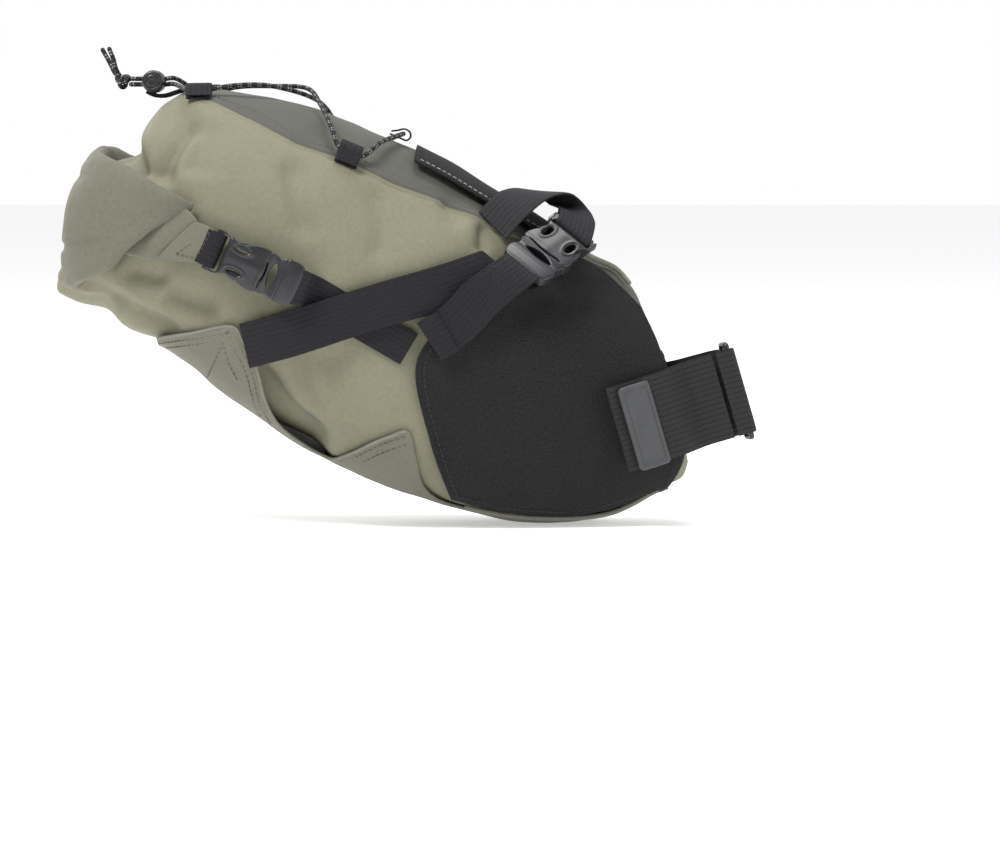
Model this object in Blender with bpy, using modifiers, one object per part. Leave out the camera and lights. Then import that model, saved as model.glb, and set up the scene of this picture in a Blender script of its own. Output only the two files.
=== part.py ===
"""Roll-top saddle bag that straps to a bicycle's seatpost and saddle rails.

Row frame: +X is the bicycle's forward direction, +Z is up, and the origin is on the seatpost's axis,
level with the middle of the post strap. "right" pieces are on the -Y side. Lengths are in metres.
"""
from math import acos, copysign, cos, pi, radians, sin

import bmesh
import bpy
from mathutils import Matrix, Vector

# Driving dimensions
POST_LEAN = radians(16.2)      # the seatpost leans back from vertical
RIGHT, LEFT = -1, 1
SIDES = (("right", RIGHT), ("left", LEFT))
GAP = 0.0003                   # clearance between neighbouring pieces

# The bag's side outline from nose to roll: top x, z, bottom x, z, and half the width there
STATIONS = (
    (-0.0273, 0.0391, -0.0071, -0.0362, 0.0270),
    (-0.0359, 0.0615, -0.0112, -0.0454, 0.0315),
    (-0.0485, 0.0748, -0.0273, -0.0523, 0.0365),
    (-0.0646, 0.0834, -0.0531, -0.0650, 0.0425),
    (-0.0905, 0.1024, -0.0848, -0.0679, 0.0505),
    (-0.1221, 0.1213, -0.1221, -0.0644, 0.0585),
    (-0.1566, 0.1420, -0.1739, -0.0500, 0.0680),
    (-0.2026, 0.1622, -0.2256, -0.0265, 0.0755),
    (-0.2486, 0.1783, -0.2688, 0.0029, 0.0795),
    (-0.2889, 0.1811, -0.3033, 0.0299, 0.0800),
    (-0.3100, 0.1740, -0.3290, 0.0415, 0.0750),
    (-0.3260, 0.1530, -0.3425, 0.0520, 0.0660),
)
TOP_POWER = 2.3                # squareness of the upper half of each cross-section
BOTTOM_POWER = 3.2             # and of the lower half
RINGS_PER_STATION = 2
RING_POINTS = 28

WALL = 0.0015                  # shell fabric with its lining
PANEL = 0.0010                 # sewn-on panels
WEBBING = 0.0012
PANEL_LIFT = 0.0014            # inner face of a panel above the shell
STRAP_LIFT = 0.0031            # inner face of webbing above the shell, over the panels
UNDER_STRAP_LIFT = 0.0008      # webbing that lies straight on the shell
STUFFING_DEPTH = 0.0054        # dry bag's face below the shell's outer face
STIFFENER_DEPTH = 0.0036

LIFT_STRAP_WIDTH = 0.025
ROLL_STRAP_WIDTH = 0.020
POST_STRAP_WIDTH = 0.050
CORD_DIAMETER = 0.003
PIPING_RADIUS = 0.0014

OBJECT_NAME = "saddle_bag"
POST_UP = Vector((-sin(POST_LEAN), 0, cos(POST_LEAN)))
POST_AHEAD = Vector((cos(POST_LEAN), 0, sin(POST_LEAN)))


# ---------------------------------------------------------------- scene and materials

def clear_scene():
    for item in list(bpy.data.objects):
        bpy.data.objects.remove(item, do_unlink=True)


def new_collection(name):
    collection = bpy.data.collections.new(name)
    bpy.context.scene.collection.children.link(collection)
    return collection


def principled(name, colour, roughness, metallic=0.0):
    material = bpy.data.materials.new(name)
    material.use_nodes = True
    shader = material.node_tree.nodes["Principled BSDF"]
    shader.inputs["Base Color"].default_value = (*colour, 1.0)
    shader.inputs["Roughness"].default_value = roughness
    shader.inputs["Metallic"].default_value = metallic
    return material


COLOURS = {
    "olive": ((0.33, 0.32, 0.24), 0.75),
    "roll_olive": ((0.25, 0.24, 0.19), 0.75),
    "black_fabric": ((0.028, 0.028, 0.028), 0.9),
    "webbing": ((0.022, 0.021, 0.026), 0.85),
    "buckle_plastic": ((0.03, 0.03, 0.034), 0.4),
    "piping": ((0.32, 0.32, 0.27), 0.7),
    "rubber": ((0.1, 0.1, 0.105), 0.6),
    "lining": ((0.30, 0.31, 0.31), 0.5),
    "cord": ((0.03, 0.03, 0.03), 0.8),
    "steel": ((0.6, 0.6, 0.6), 0.3),
}


def finish_for(name):
    colour, roughness = COLOURS[name]
    metallic = 1.0 if name == "steel" else 0.0
    return principled(name, colour, roughness, metallic)


# ---------------------------------------------------------------- curves and the bag's skin

def spline(values, place):
    """Catmull-Rom value at place, counted in whole entries of values."""
    last = len(values) - 1
    index = min(max(int(place), 0), last - 1)
    t = place - index
    before = values[max(index - 1, 0)]
    start, end = values[index], values[index + 1]
    after = values[min(index + 2, last)]
    return tuple(
        b + 0.5 * t * (c - a + t * (2 * a - 5 * b + 4 * c - d + t * (3 * (b - c) + d - a)))
        for a, b, c, d in zip(before, start, end, after)
    )


LAST_STATION = len(STATIONS) - 1


def section(station):
    """Middle, half height vector and half width of the cross-section at a station."""
    top_x, top_z, bottom_x, bottom_z, half_width = spline(STATIONS, station)
    top, bottom = Vector((top_x, 0, top_z)), Vector((bottom_x, 0, bottom_z))
    return (top + bottom) / 2, (top - bottom) / 2, half_width


def rounded(value, power):
    return copysign(abs(value) ** (2 / power), value)


def bare_skin(station, angle):
    middle, half_height, half_width = section(station)
    power = TOP_POWER if cos(angle) > 0 else BOTTOM_POWER
    across = Vector((0, -half_width * rounded(sin(angle), power), 0))
    return middle + half_height * rounded(cos(angle), power) + across


def skin(station, angle, lift=0.0):
    """Point on the bag; angle runs from the top line, positive to the right, and pi is the bottom."""
    rearward = bare_skin(station + 0.01, angle) - bare_skin(station - 0.01, angle)
    around = bare_skin(station, angle + 0.01) - bare_skin(station, angle - 0.01)
    outward = around.cross(rearward).normalized()
    point = bare_skin(station, angle)
    if outward.dot(point - section(station)[0]) < 0:
        outward.negate()
    return point + outward * lift


def station_at(x, z):
    """Station whose cross-section passes through (x, z) in side view."""
    low, high = 0.0, float(LAST_STATION)
    for _ in range(30):
        station = (low + high) / 2
        middle, half_height, _ = section(station)
        offset = Vector((x, 0, z)) - middle
        if half_height.cross(offset).y < 0:
            low = station
        else:
            high = station
    return (low + high) / 2


def height_share(x, z):
    """Station through (x, z), and how far up its cross-section the point is, from -1 to 1."""
    station = station_at(x, z)
    middle, half_height, _ = section(station)
    share = (Vector((x, 0, z)) - middle).dot(half_height) / half_height.length_squared
    return station, min(max(share, -0.985), 0.985)


def side_depth(x, z):
    station, share = height_share(x, z)
    power = TOP_POWER if share > 0 else BOTTOM_POWER
    return section(station)[2] * (1 - abs(share) ** power) ** (1 / power)


def side_point(x, z, side, lift=0.0):
    """Point on the bag's side wall seen at (x, z) in side view."""
    step = 0.0015
    slope_x = (side_depth(x + step, z) - side_depth(x - step, z)) / (2 * step)
    slope_z = (side_depth(x, z + step) - side_depth(x, z - step)) / (2 * step)
    outward = Vector((-slope_x, side, -slope_z)).normalized()
    return Vector((x, side * side_depth(x, z), z)) + outward * lift


def edge_angle(x, z):
    """Station and skin angle of the side wall seen at (x, z)."""
    station, share = height_share(x, z)
    power = TOP_POWER if share > 0 else BOTTOM_POWER
    return station, acos(copysign(abs(share) ** (power / 2), share))


# ---------------------------------------------------------------- mesh building

def link(item, collection, finish):
    item.data.materials.append(finish)
    collection.objects.link(item)
    return item


def object_from_bmesh(name, bm, collection, finish, smooth_below=radians(40)):
    bmesh.ops.recalc_face_normals(bm, faces=bm.faces)
    mesh = bpy.data.meshes.new(name)
    bm.to_mesh(mesh)
    bm.free()
    mesh.shade_smooth()
    mesh.set_sharp_from_angle(angle=smooth_below)
    return link(bpy.data.objects.new(name, mesh), collection, finish)


def loft(rings, close_start=True, close_end=True):
    """Closed rings of points joined end to end; an end that isn't closed stays open.

    The second half of each ring is split into triangles the other way, so that the two faces of
    a twisted strap stay parallel.
    """
    bm = bmesh.new()
    loops = [[bm.verts.new(point) for point in ring] for ring in rings]
    count = len(loops[0])
    for ring, following in zip(loops, loops[1:]):
        for i in range(count):
            j = (i + 1) % count
            a, b, c, d = ring[i], ring[j], following[j], following[i]
            corners = ((a, b, c), (a, c, d)) if i < count // 2 else ((a, b, d), (b, c, d))
            for corner in corners:
                bm.faces.new(corner)
    if close_start:
        bm.faces.new(reversed(loops[0]))
    if close_end:
        bm.faces.new(loops[-1])
    return bm


def sheet(name, place, columns, rows, thickness, collection, finish):
    """A cloth sheet: place(a, b, lift) for a and b from 0 to 1, and lift from 0 to thickness."""
    rings = []
    for i in range(columns + 1):
        a = i / columns
        inner = [place(a, j / rows, 0.0) for j in range(rows + 1)]
        outer = [place(a, j / rows, thickness) for j in range(rows, -1, -1)]
        rings.append(inner + outer)
    return object_from_bmesh(name, loft(rings), collection, finish)


def smooth_rows(rows, steps):
    """Rows of points on smooth curves through the given rows."""
    columns = list(zip(*rows))
    count = (len(rows) - 1) * steps
    return [
        [Vector(spline(column, i / steps)) for column in columns]
        for i in range(count + 1)
    ]


def band(name, rows, collection, finish, thickness=WEBBING, steps=2):
    """Webbing whose middle surface passes through rows of points across it."""
    rows = smooth_rows(rows, steps)
    rings = []
    for i, row in enumerate(rows):
        ahead, behind = rows[min(i + 1, len(rows) - 1)], rows[max(i - 1, 0)]
        along = ahead[len(row) // 2] - behind[len(row) // 2]
        across = row[-1] - row[0]
        half = along.cross(across).normalized() * thickness / 2
        rings.append([point - half for point in row] + [point + half for point in reversed(row)])
    return object_from_bmesh(name, loft(rings), collection, finish)


def side_rows(path, width, side, spacing=0.012):
    """Rows of three points of webbing that lies on the side wall along (x, z, lift) points."""
    points = [Vector(spline(path, i / 8)) for i in range((len(path) - 1) * 8 + 1)]
    kept = [points[0]]
    for point in points[1:-1]:
        if (point - kept[-1]).xy.length > spacing:
            kept.append(point)
    kept.append(points[-1])
    rows = []
    for i, point in enumerate(kept):
        along = kept[min(i + 1, len(kept) - 1)] - kept[max(i - 1, 0)]
        across = Vector((-along.y, along.x)).normalized() * width / 2
        rows.append([
            side_point(point.x + share * across.x, point.y + share * across.y, side, point.z)
            for share in (-1, 0, 1)
        ])
    return rows


def tube(name, points, radius, collection, finish, steps=4, resolution=2):
    """A round cord or piping along a smooth curve through the points, with filled ends."""
    curve = bpy.data.curves.new(name, "CURVE")
    curve.dimensions = "3D"
    curve.bevel_depth = radius
    curve.bevel_resolution = resolution
    curve.use_fill_caps = True
    route = [spline(points, i / steps) for i in range((len(points) - 1) * steps + 1)]
    path = curve.splines.new("POLY")
    path.points.add(len(route) - 1)
    for point, place in zip(path.points, route):
        point.co = (*place, 1.0)
    return link(bpy.data.objects.new(name, curve), collection, finish)


def block(name, size, place, frame, collection, finish, bevel=0.0):
    """A box with its middle at place in a local frame."""
    bm = bmesh.new()
    bmesh.ops.create_cube(bm, size=1.0)
    bmesh.ops.scale(bm, vec=size, verts=bm.verts)
    mesh = bpy.data.meshes.new(name)
    bm.to_mesh(mesh)
    bm.free()
    item = link(bpy.data.objects.new(name, mesh), collection, finish)
    item.matrix_world = frame @ Matrix.Translation(place)
    if bevel:
        rounding = item.modifiers.new("rounding", "BEVEL")
        rounding.width = bevel
        rounding.segments = 2
    return item


def rod(name, radius, length, frame, collection, finish, segments=24):
    """A cylinder along the frame's Z axis, with its middle at the frame's origin."""
    bm = bmesh.new()
    bmesh.ops.create_cone(
        bm, cap_ends=True, segments=segments, radius1=radius, radius2=radius, depth=length)
    item = object_from_bmesh(name, bm, collection, finish)
    item.matrix_world = frame
    return item


def cut(item, cutter, operation="DIFFERENCE"):
    boolean = item.modifiers.new(cutter.name, "BOOLEAN")
    boolean.operation = operation
    boolean.solver = "EXACT"
    boolean.object = cutter
    cutter.hide_render = True
    cutter.display_type = "WIRE"


def local_frame(origin, along, outward):
    """Matrix with X along, Z as near to outward as it can be, and Y across."""
    x = Vector(along).normalized()
    y = Vector(outward).cross(x).normalized()
    z = x.cross(y)
    return Matrix.Translation(origin) @ Matrix((x, y, z)).transposed().to_4x4()


# ---------------------------------------------------------------- the bag itself

def skin_rings(first, last, depth, rings_per_station=RINGS_PER_STATION):
    count = round((last - first) * rings_per_station)
    return [
        [
            skin(first + (last - first) * i / count, 2 * pi * (j + 0.5) / RING_POINTS, -depth)
            for j in range(RING_POINTS)
        ]
        for i in range(count + 1)
    ]


def build_shell(parts, finishes):
    bm = loft(skin_rings(0, LAST_STATION, 0), close_end=False)
    shell = object_from_bmesh("main_shell", bm, parts, finishes["olive"])
    wall = shell.modifiers.new("wall", "SOLIDIFY")
    wall.thickness = WALL
    wall.offset = -1
    wall.use_even_offset = True
    return shell


def build_inside(parts, finishes):
    """Stuffed dry bag, and the plastic sheet that keeps the bag's floor and nose in shape."""
    bag = loft(skin_rings(0.6, 10.6, STUFFING_DEPTH, rings_per_station=1))
    object_from_bmesh("inner_dry_bag", bag, parts, finishes["lining"])
    first, last, half_arc = 1.0, 5.6, radians(52)

    def place(a, b, lift):
        angle = pi + half_arc * (2 * b - 1)
        return skin(first + (last - first) * a, angle, lift - STIFFENER_DEPTH)

    sheet("base_stiffener", place, 9, 8, PANEL, parts, finishes["buckle_plastic"])


def lower_line(angle, first, last, count=5):
    """(x, z) points along the lower flank at one skin angle, between two stations."""
    stations = [first + (last - first) * i / (count - 1) for i in range(count)]
    return tuple((point.x, point.z) for point in (bare_skin(station, angle) for station in stations))


PANEL_EDGE_ANGLE = radians(155.5)      # the black side panels end here, low on the flank
PIPING_ANGLE = radians(158.5)
BOTTOM_EDGE_ANGLE = radians(161.5)     # and the bottom panel starts here

# Upper edge of the bottom panel in side view: wing, seam, then round the black panel's corner
WING_EDGE = (
    (-0.3110, 0.0400), (-0.2900, 0.0430), (-0.2675, 0.0465), (-0.2610, 0.0380), (-0.2538, 0.0240),
    (-0.2475, 0.0006), (-0.2375, -0.0144), (-0.2150, -0.0290), (-0.2029, -0.0270),
    (-0.1860, -0.0190), (-0.1690, -0.0130), (-0.1640, -0.0300), (-0.1590, -0.0460),
) + lower_line(BOTTOM_EDGE_ANGLE, 5.5, 1.6, 9)


def build_bottom_panel(parts, finishes):
    def place(a, b, lift):
        x, z = spline(WING_EDGE, a * (len(WING_EDGE) - 1))
        station, edge = edge_angle(x, z)
        return skin(station, edge + (2 * pi - 2 * edge) * b, PANEL_LIFT + lift)

    sheet("bottom_panel", place, 30, 14, PANEL, parts, finishes["roll_olive"])


# The black side panel in side view
PANEL_REAR = (
    (-0.1440, -0.0530), (-0.1560, -0.0200), (-0.1640, 0.0247), (-0.1420, 0.0540), (-0.1164, 0.0805),
)
PANEL_FRONT = (
    (-0.0280, -0.0470), (-0.0190, -0.0250), (-0.0230, 0.0050), (-0.0300, 0.0330), (-0.0370, 0.0540),
)
PANEL_TOP = (
    (-0.1164, 0.0805), (-0.0940, 0.0845), (-0.0730, 0.0820), (-0.0560, 0.0725), (-0.0370, 0.0540),
)
PANEL_BOTTOM = (PANEL_REAR[0],) + lower_line(PANEL_EDGE_ANGLE, 4.7, 2.6, 3) + (PANEL_FRONT[0],)


def four_sided(a, b):
    """Coons patch between the side panel's four edges; a runs forward and b runs up."""
    ends = len(PANEL_TOP) - 1
    low, high = Vector(spline(PANEL_BOTTOM, a * ends)), Vector(spline(PANEL_TOP, a * ends))
    rear, front = Vector(spline(PANEL_REAR, b * ends)), Vector(spline(PANEL_FRONT, b * ends))
    corners = (
        Vector(PANEL_BOTTOM[0]) * (1 - a) * (1 - b) + Vector(PANEL_BOTTOM[-1]) * a * (1 - b)
        + Vector(PANEL_TOP[0]) * (1 - a) * b + Vector(PANEL_TOP[-1]) * a * b
    )
    return low * (1 - b) + high * b + rear * (1 - a) + front * a - corners


def build_side_panel(name, side, parts, finishes):
    def place(a, b, lift):
        x, z = four_sided(a, b)
        return side_point(x, z, side, PANEL_LIFT + lift)

    sheet("side_panel_" + name, place, 12, 14, PANEL, parts, finishes["black_fabric"])


PIPING_TOP = (
    (-0.0850, 0.0880), (-0.0740, 0.0862), (-0.0640, 0.0805), (-0.0500, 0.0745), (-0.0410, 0.0650),
    (-0.0345, 0.0575),
)
PIPING_LIFT = PANEL_LIFT + PIPING_RADIUS


def build_piping(name, side, parts, finishes):
    """Piping sewn along the side panel's upper front edge and its bottom edge."""
    top = [side_point(x, z, side, PIPING_LIFT) for x, z in PIPING_TOP]
    tube("piping_top_" + name, top, PIPING_RADIUS, parts, finishes["piping"], steps=2)
    stations = (5.3, 4.8, 4.3, 3.8, 3.3, 2.8, 2.3, 1.9)
    bottom = [skin(station, -side * PIPING_ANGLE, PIPING_LIFT) for station in stations]
    tube("piping_bottom_" + name, bottom, PIPING_RADIUS, parts, finishes["piping"], steps=2)


TOP_PANEL_FIRST, TOP_PANEL_LAST = 3.7, 6.2
TOP_PANEL_HALF_ARC = radians(26)


def build_top_panel(parts, finishes):
    def place(a, b, lift):
        station = TOP_PANEL_FIRST + (TOP_PANEL_LAST - TOP_PANEL_FIRST) * a
        return skin(station, TOP_PANEL_HALF_ARC * (2 * b - 1), PANEL_LIFT + lift)

    sheet("top_front_panel", place, 6, 6, PANEL, parts, finishes["black_fabric"])


FRONT_PAD_HEIGHT, FRONT_PAD_WIDTH, FRONT_PAD_THICKNESS = 0.056, 0.036, 0.0020


def build_front_pad(parts, finishes):
    """Grippy pad sewn to the nose, which bears on the seatpost."""
    middle, half_height, _ = section(0)
    outward = Vector((half_height.z, 0, -half_height.x)).normalized()
    frame = local_frame(middle + outward * (FRONT_PAD_THICKNESS / 2 + GAP), half_height, outward)
    size = (FRONT_PAD_HEIGHT, FRONT_PAD_WIDTH, FRONT_PAD_THICKNESS)
    block("front_pad", size, (0, 0, 0), frame, parts, finishes["rubber"])


# ---------------------------------------------------------------- the roll closure

# Half of the roll in plan and elevation, from its side end to the middle of the back:
# x, distance from the middle plane, height of its middle, own height and thickness
ROLL_HALF = (
    (-0.2840, 0.0835, 0.0920, 0.0200, 0.0030),
    (-0.3000, 0.0875, 0.0985, 0.0270, 0.0080),
    (-0.3180, 0.0862, 0.1050, 0.0400, 0.0120),
    (-0.3345, 0.0800, 0.1065, 0.0620, 0.0160),
    (-0.3465, 0.0655, 0.1055, 0.0800, 0.0200),
    (-0.3500, 0.0400, 0.1048, 0.0840, 0.0210),
    (-0.3500, 0.0000, 0.1048, 0.0850, 0.0210),
)
ROLL_LEAN = Vector((0.215, 0, 0.977))
ROLL_RING_POINTS = 14
ROLL_POWER = 2.6


def roll_ring(middle, along, height, thickness):
    outward = along.cross(ROLL_LEAN).normalized()
    ring = []
    for j in range(ROLL_RING_POINTS):
        angle = 2 * pi * (j + 0.5) / ROLL_RING_POINTS
        up = rounded(cos(angle), ROLL_POWER) * height / 2
        out = rounded(sin(angle), ROLL_POWER) * thickness / 2
        ring.append(middle + ROLL_LEAN * up + outward * out)
    return ring


def build_roll(parts, finishes):
    right = [(x, -y, z, height, thick) for x, y, z, height, thick in ROLL_HALF]
    left = list(reversed(ROLL_HALF[:-1]))
    controls = right + left
    steps = 2
    samples = [spline(controls, i / steps) for i in range((len(controls) - 1) * steps + 1)]
    middles = [Vector(sample[:3]) for sample in samples]
    rings = []
    for i, sample in enumerate(samples):
        along = middles[min(i + 1, len(middles) - 1)] - middles[max(i - 1, 0)]
        rings.append(roll_ring(middles[i], along, sample[3], sample[4]))
    object_from_bmesh("roll_top", loft(rings), parts, finishes["roll_olive"])


# ---------------------------------------------------------------- side-release buckles

SLOT_PLAY = 0.0028              # webbing slots are this much wider than the webbing


class Buckle:
    """A side-release buckle; X runs from the female half's bar to the male half's end."""

    def __init__(self, width, length, thickness, webbing, arm_play, pad_play):
        self.width = width
        self.length = length
        self.thickness = thickness
        self.webbing = webbing
        self.arm_play = arm_play           # between the arms and the pocket's front and back
        self.pad_play = pad_play           # between the thumb pads and the pocket's sides
        self.seam = 0.60 * length          # where the halves meet
        self.wall = 0.0016
        self.bar = 0.0030                  # bars that webbing goes round
        self.slot = 0.0050
        self.bar_thickness = 0.0030
        self.arm_root = self.seam - 0.0010
        self.arm_offset = width / 2 - self.wall - 0.0032

    def pocket_half_width(self):
        return self.width / 2 - self.wall


ROLL_BUCKLE = Buckle(width=0.0268, length=0.0486, thickness=0.0085, webbing=ROLL_STRAP_WIDTH,
                     arm_play=0.0018, pad_play=0.0004)
RAIL_BUCKLE = Buckle(width=0.0320, length=0.0478, thickness=0.0095, webbing=LIFT_STRAP_WIDTH,
                     arm_play=0.0043, pad_play=0.0023)
ARM_NAMES = (("upper", 1), ("lower", -1))


def build_female(name, buckle, frame, parts, cutters, finishes):
    size = (buckle.seam, buckle.width, buckle.thickness)
    body = block(name, size, (buckle.seam / 2, 0, 0), frame, parts, finishes["buckle_plastic"])
    pocket_start = buckle.bar + buckle.slot + 0.0025
    pocket_length = buckle.seam - pocket_start + 0.002
    pocket = (pocket_length, 2 * buckle.pocket_half_width(), buckle.thickness - 2 * buckle.wall)
    pocket_place = (pocket_start + pocket_length / 2, 0, 0)
    slot = (buckle.slot, buckle.webbing + SLOT_PLAY, buckle.thickness + 0.002)
    slot_place = (buckle.bar + buckle.slot / 2, 0, 0)
    window_length = 0.42 * buckle.seam
    window = (window_length, buckle.width + 0.002, buckle.thickness - 2 * buckle.wall - 0.0012)
    window_place = (pocket_start + 0.001 + window_length / 2, 0, 0)
    thin = (buckle.thickness - buckle.bar_thickness) / 2
    shapes = [
        ("pocket", pocket, pocket_place), ("slot", slot, slot_place), ("window", window, window_place),
    ]
    for label, direction in (("over", 1), ("under", -1)):
        step = (buckle.bar * 2 + 0.0010, buckle.webbing + SLOT_PLAY + 0.0006, thin * 2)
        shapes.append(("bar_" + label, step, (0, 0, direction * buckle.thickness / 2)))
    for label, shape, place in shapes:
        cutter = block(name + "_" + label, shape, place, frame, cutters, finishes["steel"])
        cut(body, cutter)
    return body


def build_male(name, buckle, frame, parts, cutters, finishes):
    start = buckle.seam + GAP
    length = buckle.length - start
    size = (length, buckle.width * 0.96, buckle.thickness * 0.92)
    place = (start + length / 2, 0, 0)
    body = block(name, size, place, frame, parts, finishes["buckle_plastic"])
    slot_x = buckle.length - buckle.bar - buckle.slot / 2
    slot = (buckle.slot, buckle.webbing + SLOT_PLAY, buckle.thickness + 0.002)
    thin = (buckle.thickness * 0.92 - buckle.bar_thickness) / 2
    shapes = [("slot", slot, (slot_x, 0, 0))]
    for label, direction in (("over", 1), ("under", -1)):
        step = (buckle.bar * 2 + 0.0010, buckle.webbing + SLOT_PLAY + 0.0006, thin * 2)
        middle = (buckle.length, 0, direction * buckle.thickness * 0.92 / 2)
        shapes.append(("bar_" + label, step, middle))
    tongue_length = 0.62 * buckle.seam
    tongue_size = (tongue_length, 0.0052, 0.0030)
    tongue_place = (start - tongue_length / 2 + 0.0004, 0, 0)
    tongue = block(name + "_tongue", tongue_size, tongue_place, frame, cutters, finishes["steel"])
    cut(body, tongue, "UNION")
    for label, shape, middle in shapes:
        cutter = block(name + "_" + label, shape, middle, frame, cutters, finishes["steel"])
        cut(body, cutter)
    return body


def build_arm(name, buckle, frame, direction, parts, cutters, finishes):
    """Sprung latch arm with its thumb pad; its origin is on its hinge line."""
    hinge = Vector((buckle.arm_root, direction * buckle.arm_offset, 0))
    arm_frame = frame @ Matrix.Translation(hinge)
    depth = buckle.thickness - 2 * buckle.wall - buckle.arm_play
    reach = 0.58 * buckle.seam
    stem = block(name, (reach, 0.0018, depth), (-reach / 2, 0, 0), arm_frame, parts,
                 finishes["buckle_plastic"])
    pad_length = 0.36 * buckle.seam
    pad_out = buckle.pocket_half_width() - buckle.arm_offset - buckle.pad_play
    pad_place = (-reach + pad_length / 2, direction * pad_out / 2, 0)
    pad = block(name + "_pad", (pad_length, pad_out, depth * 0.98), pad_place, arm_frame, cutters,
                finishes["steel"])
    cut(stem, pad, "UNION")
    return stem


def build_buckle(prefix, name, buckle, frame, parts, cutters, finishes):
    build_female(f"{prefix}_female_{name}", buckle, frame, parts, cutters, finishes)
    build_male(f"{prefix}_male_{name}", buckle, frame, parts, cutters, finishes)
    for arm, direction in ARM_NAMES:
        arm_name = f"{prefix}_arm_{arm}_{name}"
        build_arm(arm_name, buckle, frame, direction, parts, cutters, finishes)


def buckle_frame(buckle, bar, end, outward, side):
    """Frame of a buckle whose bar and far end are given for the right side; outward faces the eye."""
    mirror = Vector((1, -side, 1))
    start = Vector(bar) * mirror
    along = (Vector(end) - Vector(bar)) * mirror
    return local_frame(start, along, Vector(outward) * mirror)


ROLL_BAR, ROLL_END = (-0.2765, -0.0885, 0.0895), (-0.2322, -0.0885, 0.0700)
ROLL_OUTWARD = (0, -1, 0)
RAIL_BAR, RAIL_END = (-0.0730, -0.0345, 0.0985), (-0.1044, -0.0635, 0.0773)
RAIL_OUTWARD = (0.192, -0.705, 0.681)


def webbing_round_bar(buckle, frame, end, clearance=0.0012):
    """Rows of points of webbing that comes in under an end bar, goes round it and out on top."""
    inward = -1 if end else 1
    edge = buckle.length if end else 0.0
    slot_x = edge + inward * (buckle.bar + clearance + WEBBING / 2)
    height = buckle.bar_thickness / 2 + WEBBING / 2 + clearance
    profile = (
        (edge - inward * 0.004, -height), (edge + inward * buckle.bar * 0.6, -height),
        (slot_x, -height * 0.45), (slot_x, height * 0.45),
        (edge + inward * buckle.bar * 0.6, height), (edge - inward * 0.004, height),
    )
    half = buckle.webbing / 2
    return [
        [frame @ Vector((x, share * half, z)) for share in (-1, 0, 1)]
        for x, z in profile
    ]


def matched(rows, first):
    """The rows turned end for end across, when they would otherwise twist from the first row."""
    ahead, behind = first[-1] - first[0], rows[0][-1] - rows[0][0]
    if ahead.dot(behind) < 0:
        return [list(reversed(row)) for row in rows]
    return rows


# ---------------------------------------------------------------- straps on the sides

UNDER_LIFT = UNDER_STRAP_LIFT + WEBBING / 2
OVER_LIFT = STRAP_LIFT + WEBBING / 2
LIFT_STRAP = (
    (-0.2597, 0.0362, OVER_LIFT), (-0.2310, 0.0436, OVER_LIFT + 0.0020),
    (-0.2015, 0.0529, OVER_LIFT + 0.0015), (-0.1780, 0.0596, OVER_LIFT + 0.0010),
    (-0.1555, 0.0656, OVER_LIFT + 0.0010), (-0.1380, 0.0705, 0.0065), (-0.1270, 0.0735, 0.0095),
)
LIFT_TAIL = ((-0.1300, 0.0610, 0.0130), (-0.1420, 0.0480, 0.0085), (-0.1563, 0.0382, 0.0072))
ROLL_STRAP = (
    (-0.2215, 0.0646, UNDER_LIFT), (-0.2000, 0.0519, UNDER_LIFT), (-0.1810, 0.0407, UNDER_LIFT),
    (-0.1680, 0.0330, UNDER_LIFT),
)


def build_lift_strap(name, side, frame, parts, finishes):
    """Sewn to the wing, through the rail buckle's male half, and back as a loose tail."""
    strap = side_rows(LIFT_STRAP, LIFT_STRAP_WIDTH, side)
    loop = matched(webbing_round_bar(RAIL_BUCKLE, frame, True), strap[-1])
    tail = side_rows(LIFT_TAIL, LIFT_STRAP_WIDTH, side)
    tail = matched(tail, loop[-1])
    band("lift_strap_" + name, strap + loop + tail, parts, finishes["webbing"])


def build_roll_strap(name, side, frame, parts, finishes):
    """Sewn under the side panel's edge, through the roll buckle's male half, with a short tail."""
    strap = list(reversed(side_rows(ROLL_STRAP, ROLL_STRAP_WIDTH, side)))
    loop = matched(webbing_round_bar(ROLL_BUCKLE, frame, True), strap[-1])
    band("roll_strap_" + name, strap + loop, parts, finishes["webbing"])


def build_roll_tab(name, side, frame, parts, finishes):
    """Short webbing from the roll's end, round the roll buckle's fixed bar and back."""
    loop = webbing_round_bar(ROLL_BUCKLE, frame, False)
    mirror = Vector((1, -side, 1))
    half = ROLL_STRAP_WIDTH / 2
    across = (frame.to_3x3() @ Vector((0, 1, 0))).normalized() * half
    under = Vector((-0.2830, -0.0866, 0.0924)) * mirror
    over = Vector((-0.2830, -0.0908, 0.0924)) * mirror
    first = [under + across * share for share in (-1, 0, 1)]
    last = [over + across * share for share in (-1, 0, 1)]
    rows = [first] + matched(loop, first) + [last]
    band("roll_tab_" + name, rows, parts, finishes["webbing"])


# Rail strap on the right: middle line, and the direction across it
RAIL_STRAP = (
    ((-0.1205, -0.0450, 0.1020), (0.62, -0.45, -0.60)),
    ((-0.1110, -0.0365, 0.1125), (0.66, -0.52, -0.50)),
    ((-0.0980, -0.0240, 0.1200), (0.76, -0.60, -0.20)),
    ((-0.0860, -0.0145, 0.1195), (0.84, -0.54, 0.00)),
    ((-0.0775, -0.0140, 0.1130), (0.90, -0.42, -0.10)),
    ((-0.0735, -0.0235, 0.1090), (0.88, -0.36, -0.30)),
    ((-0.0722, -0.0295, 0.1065), (0.80, -0.36, -0.46)),
)


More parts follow.
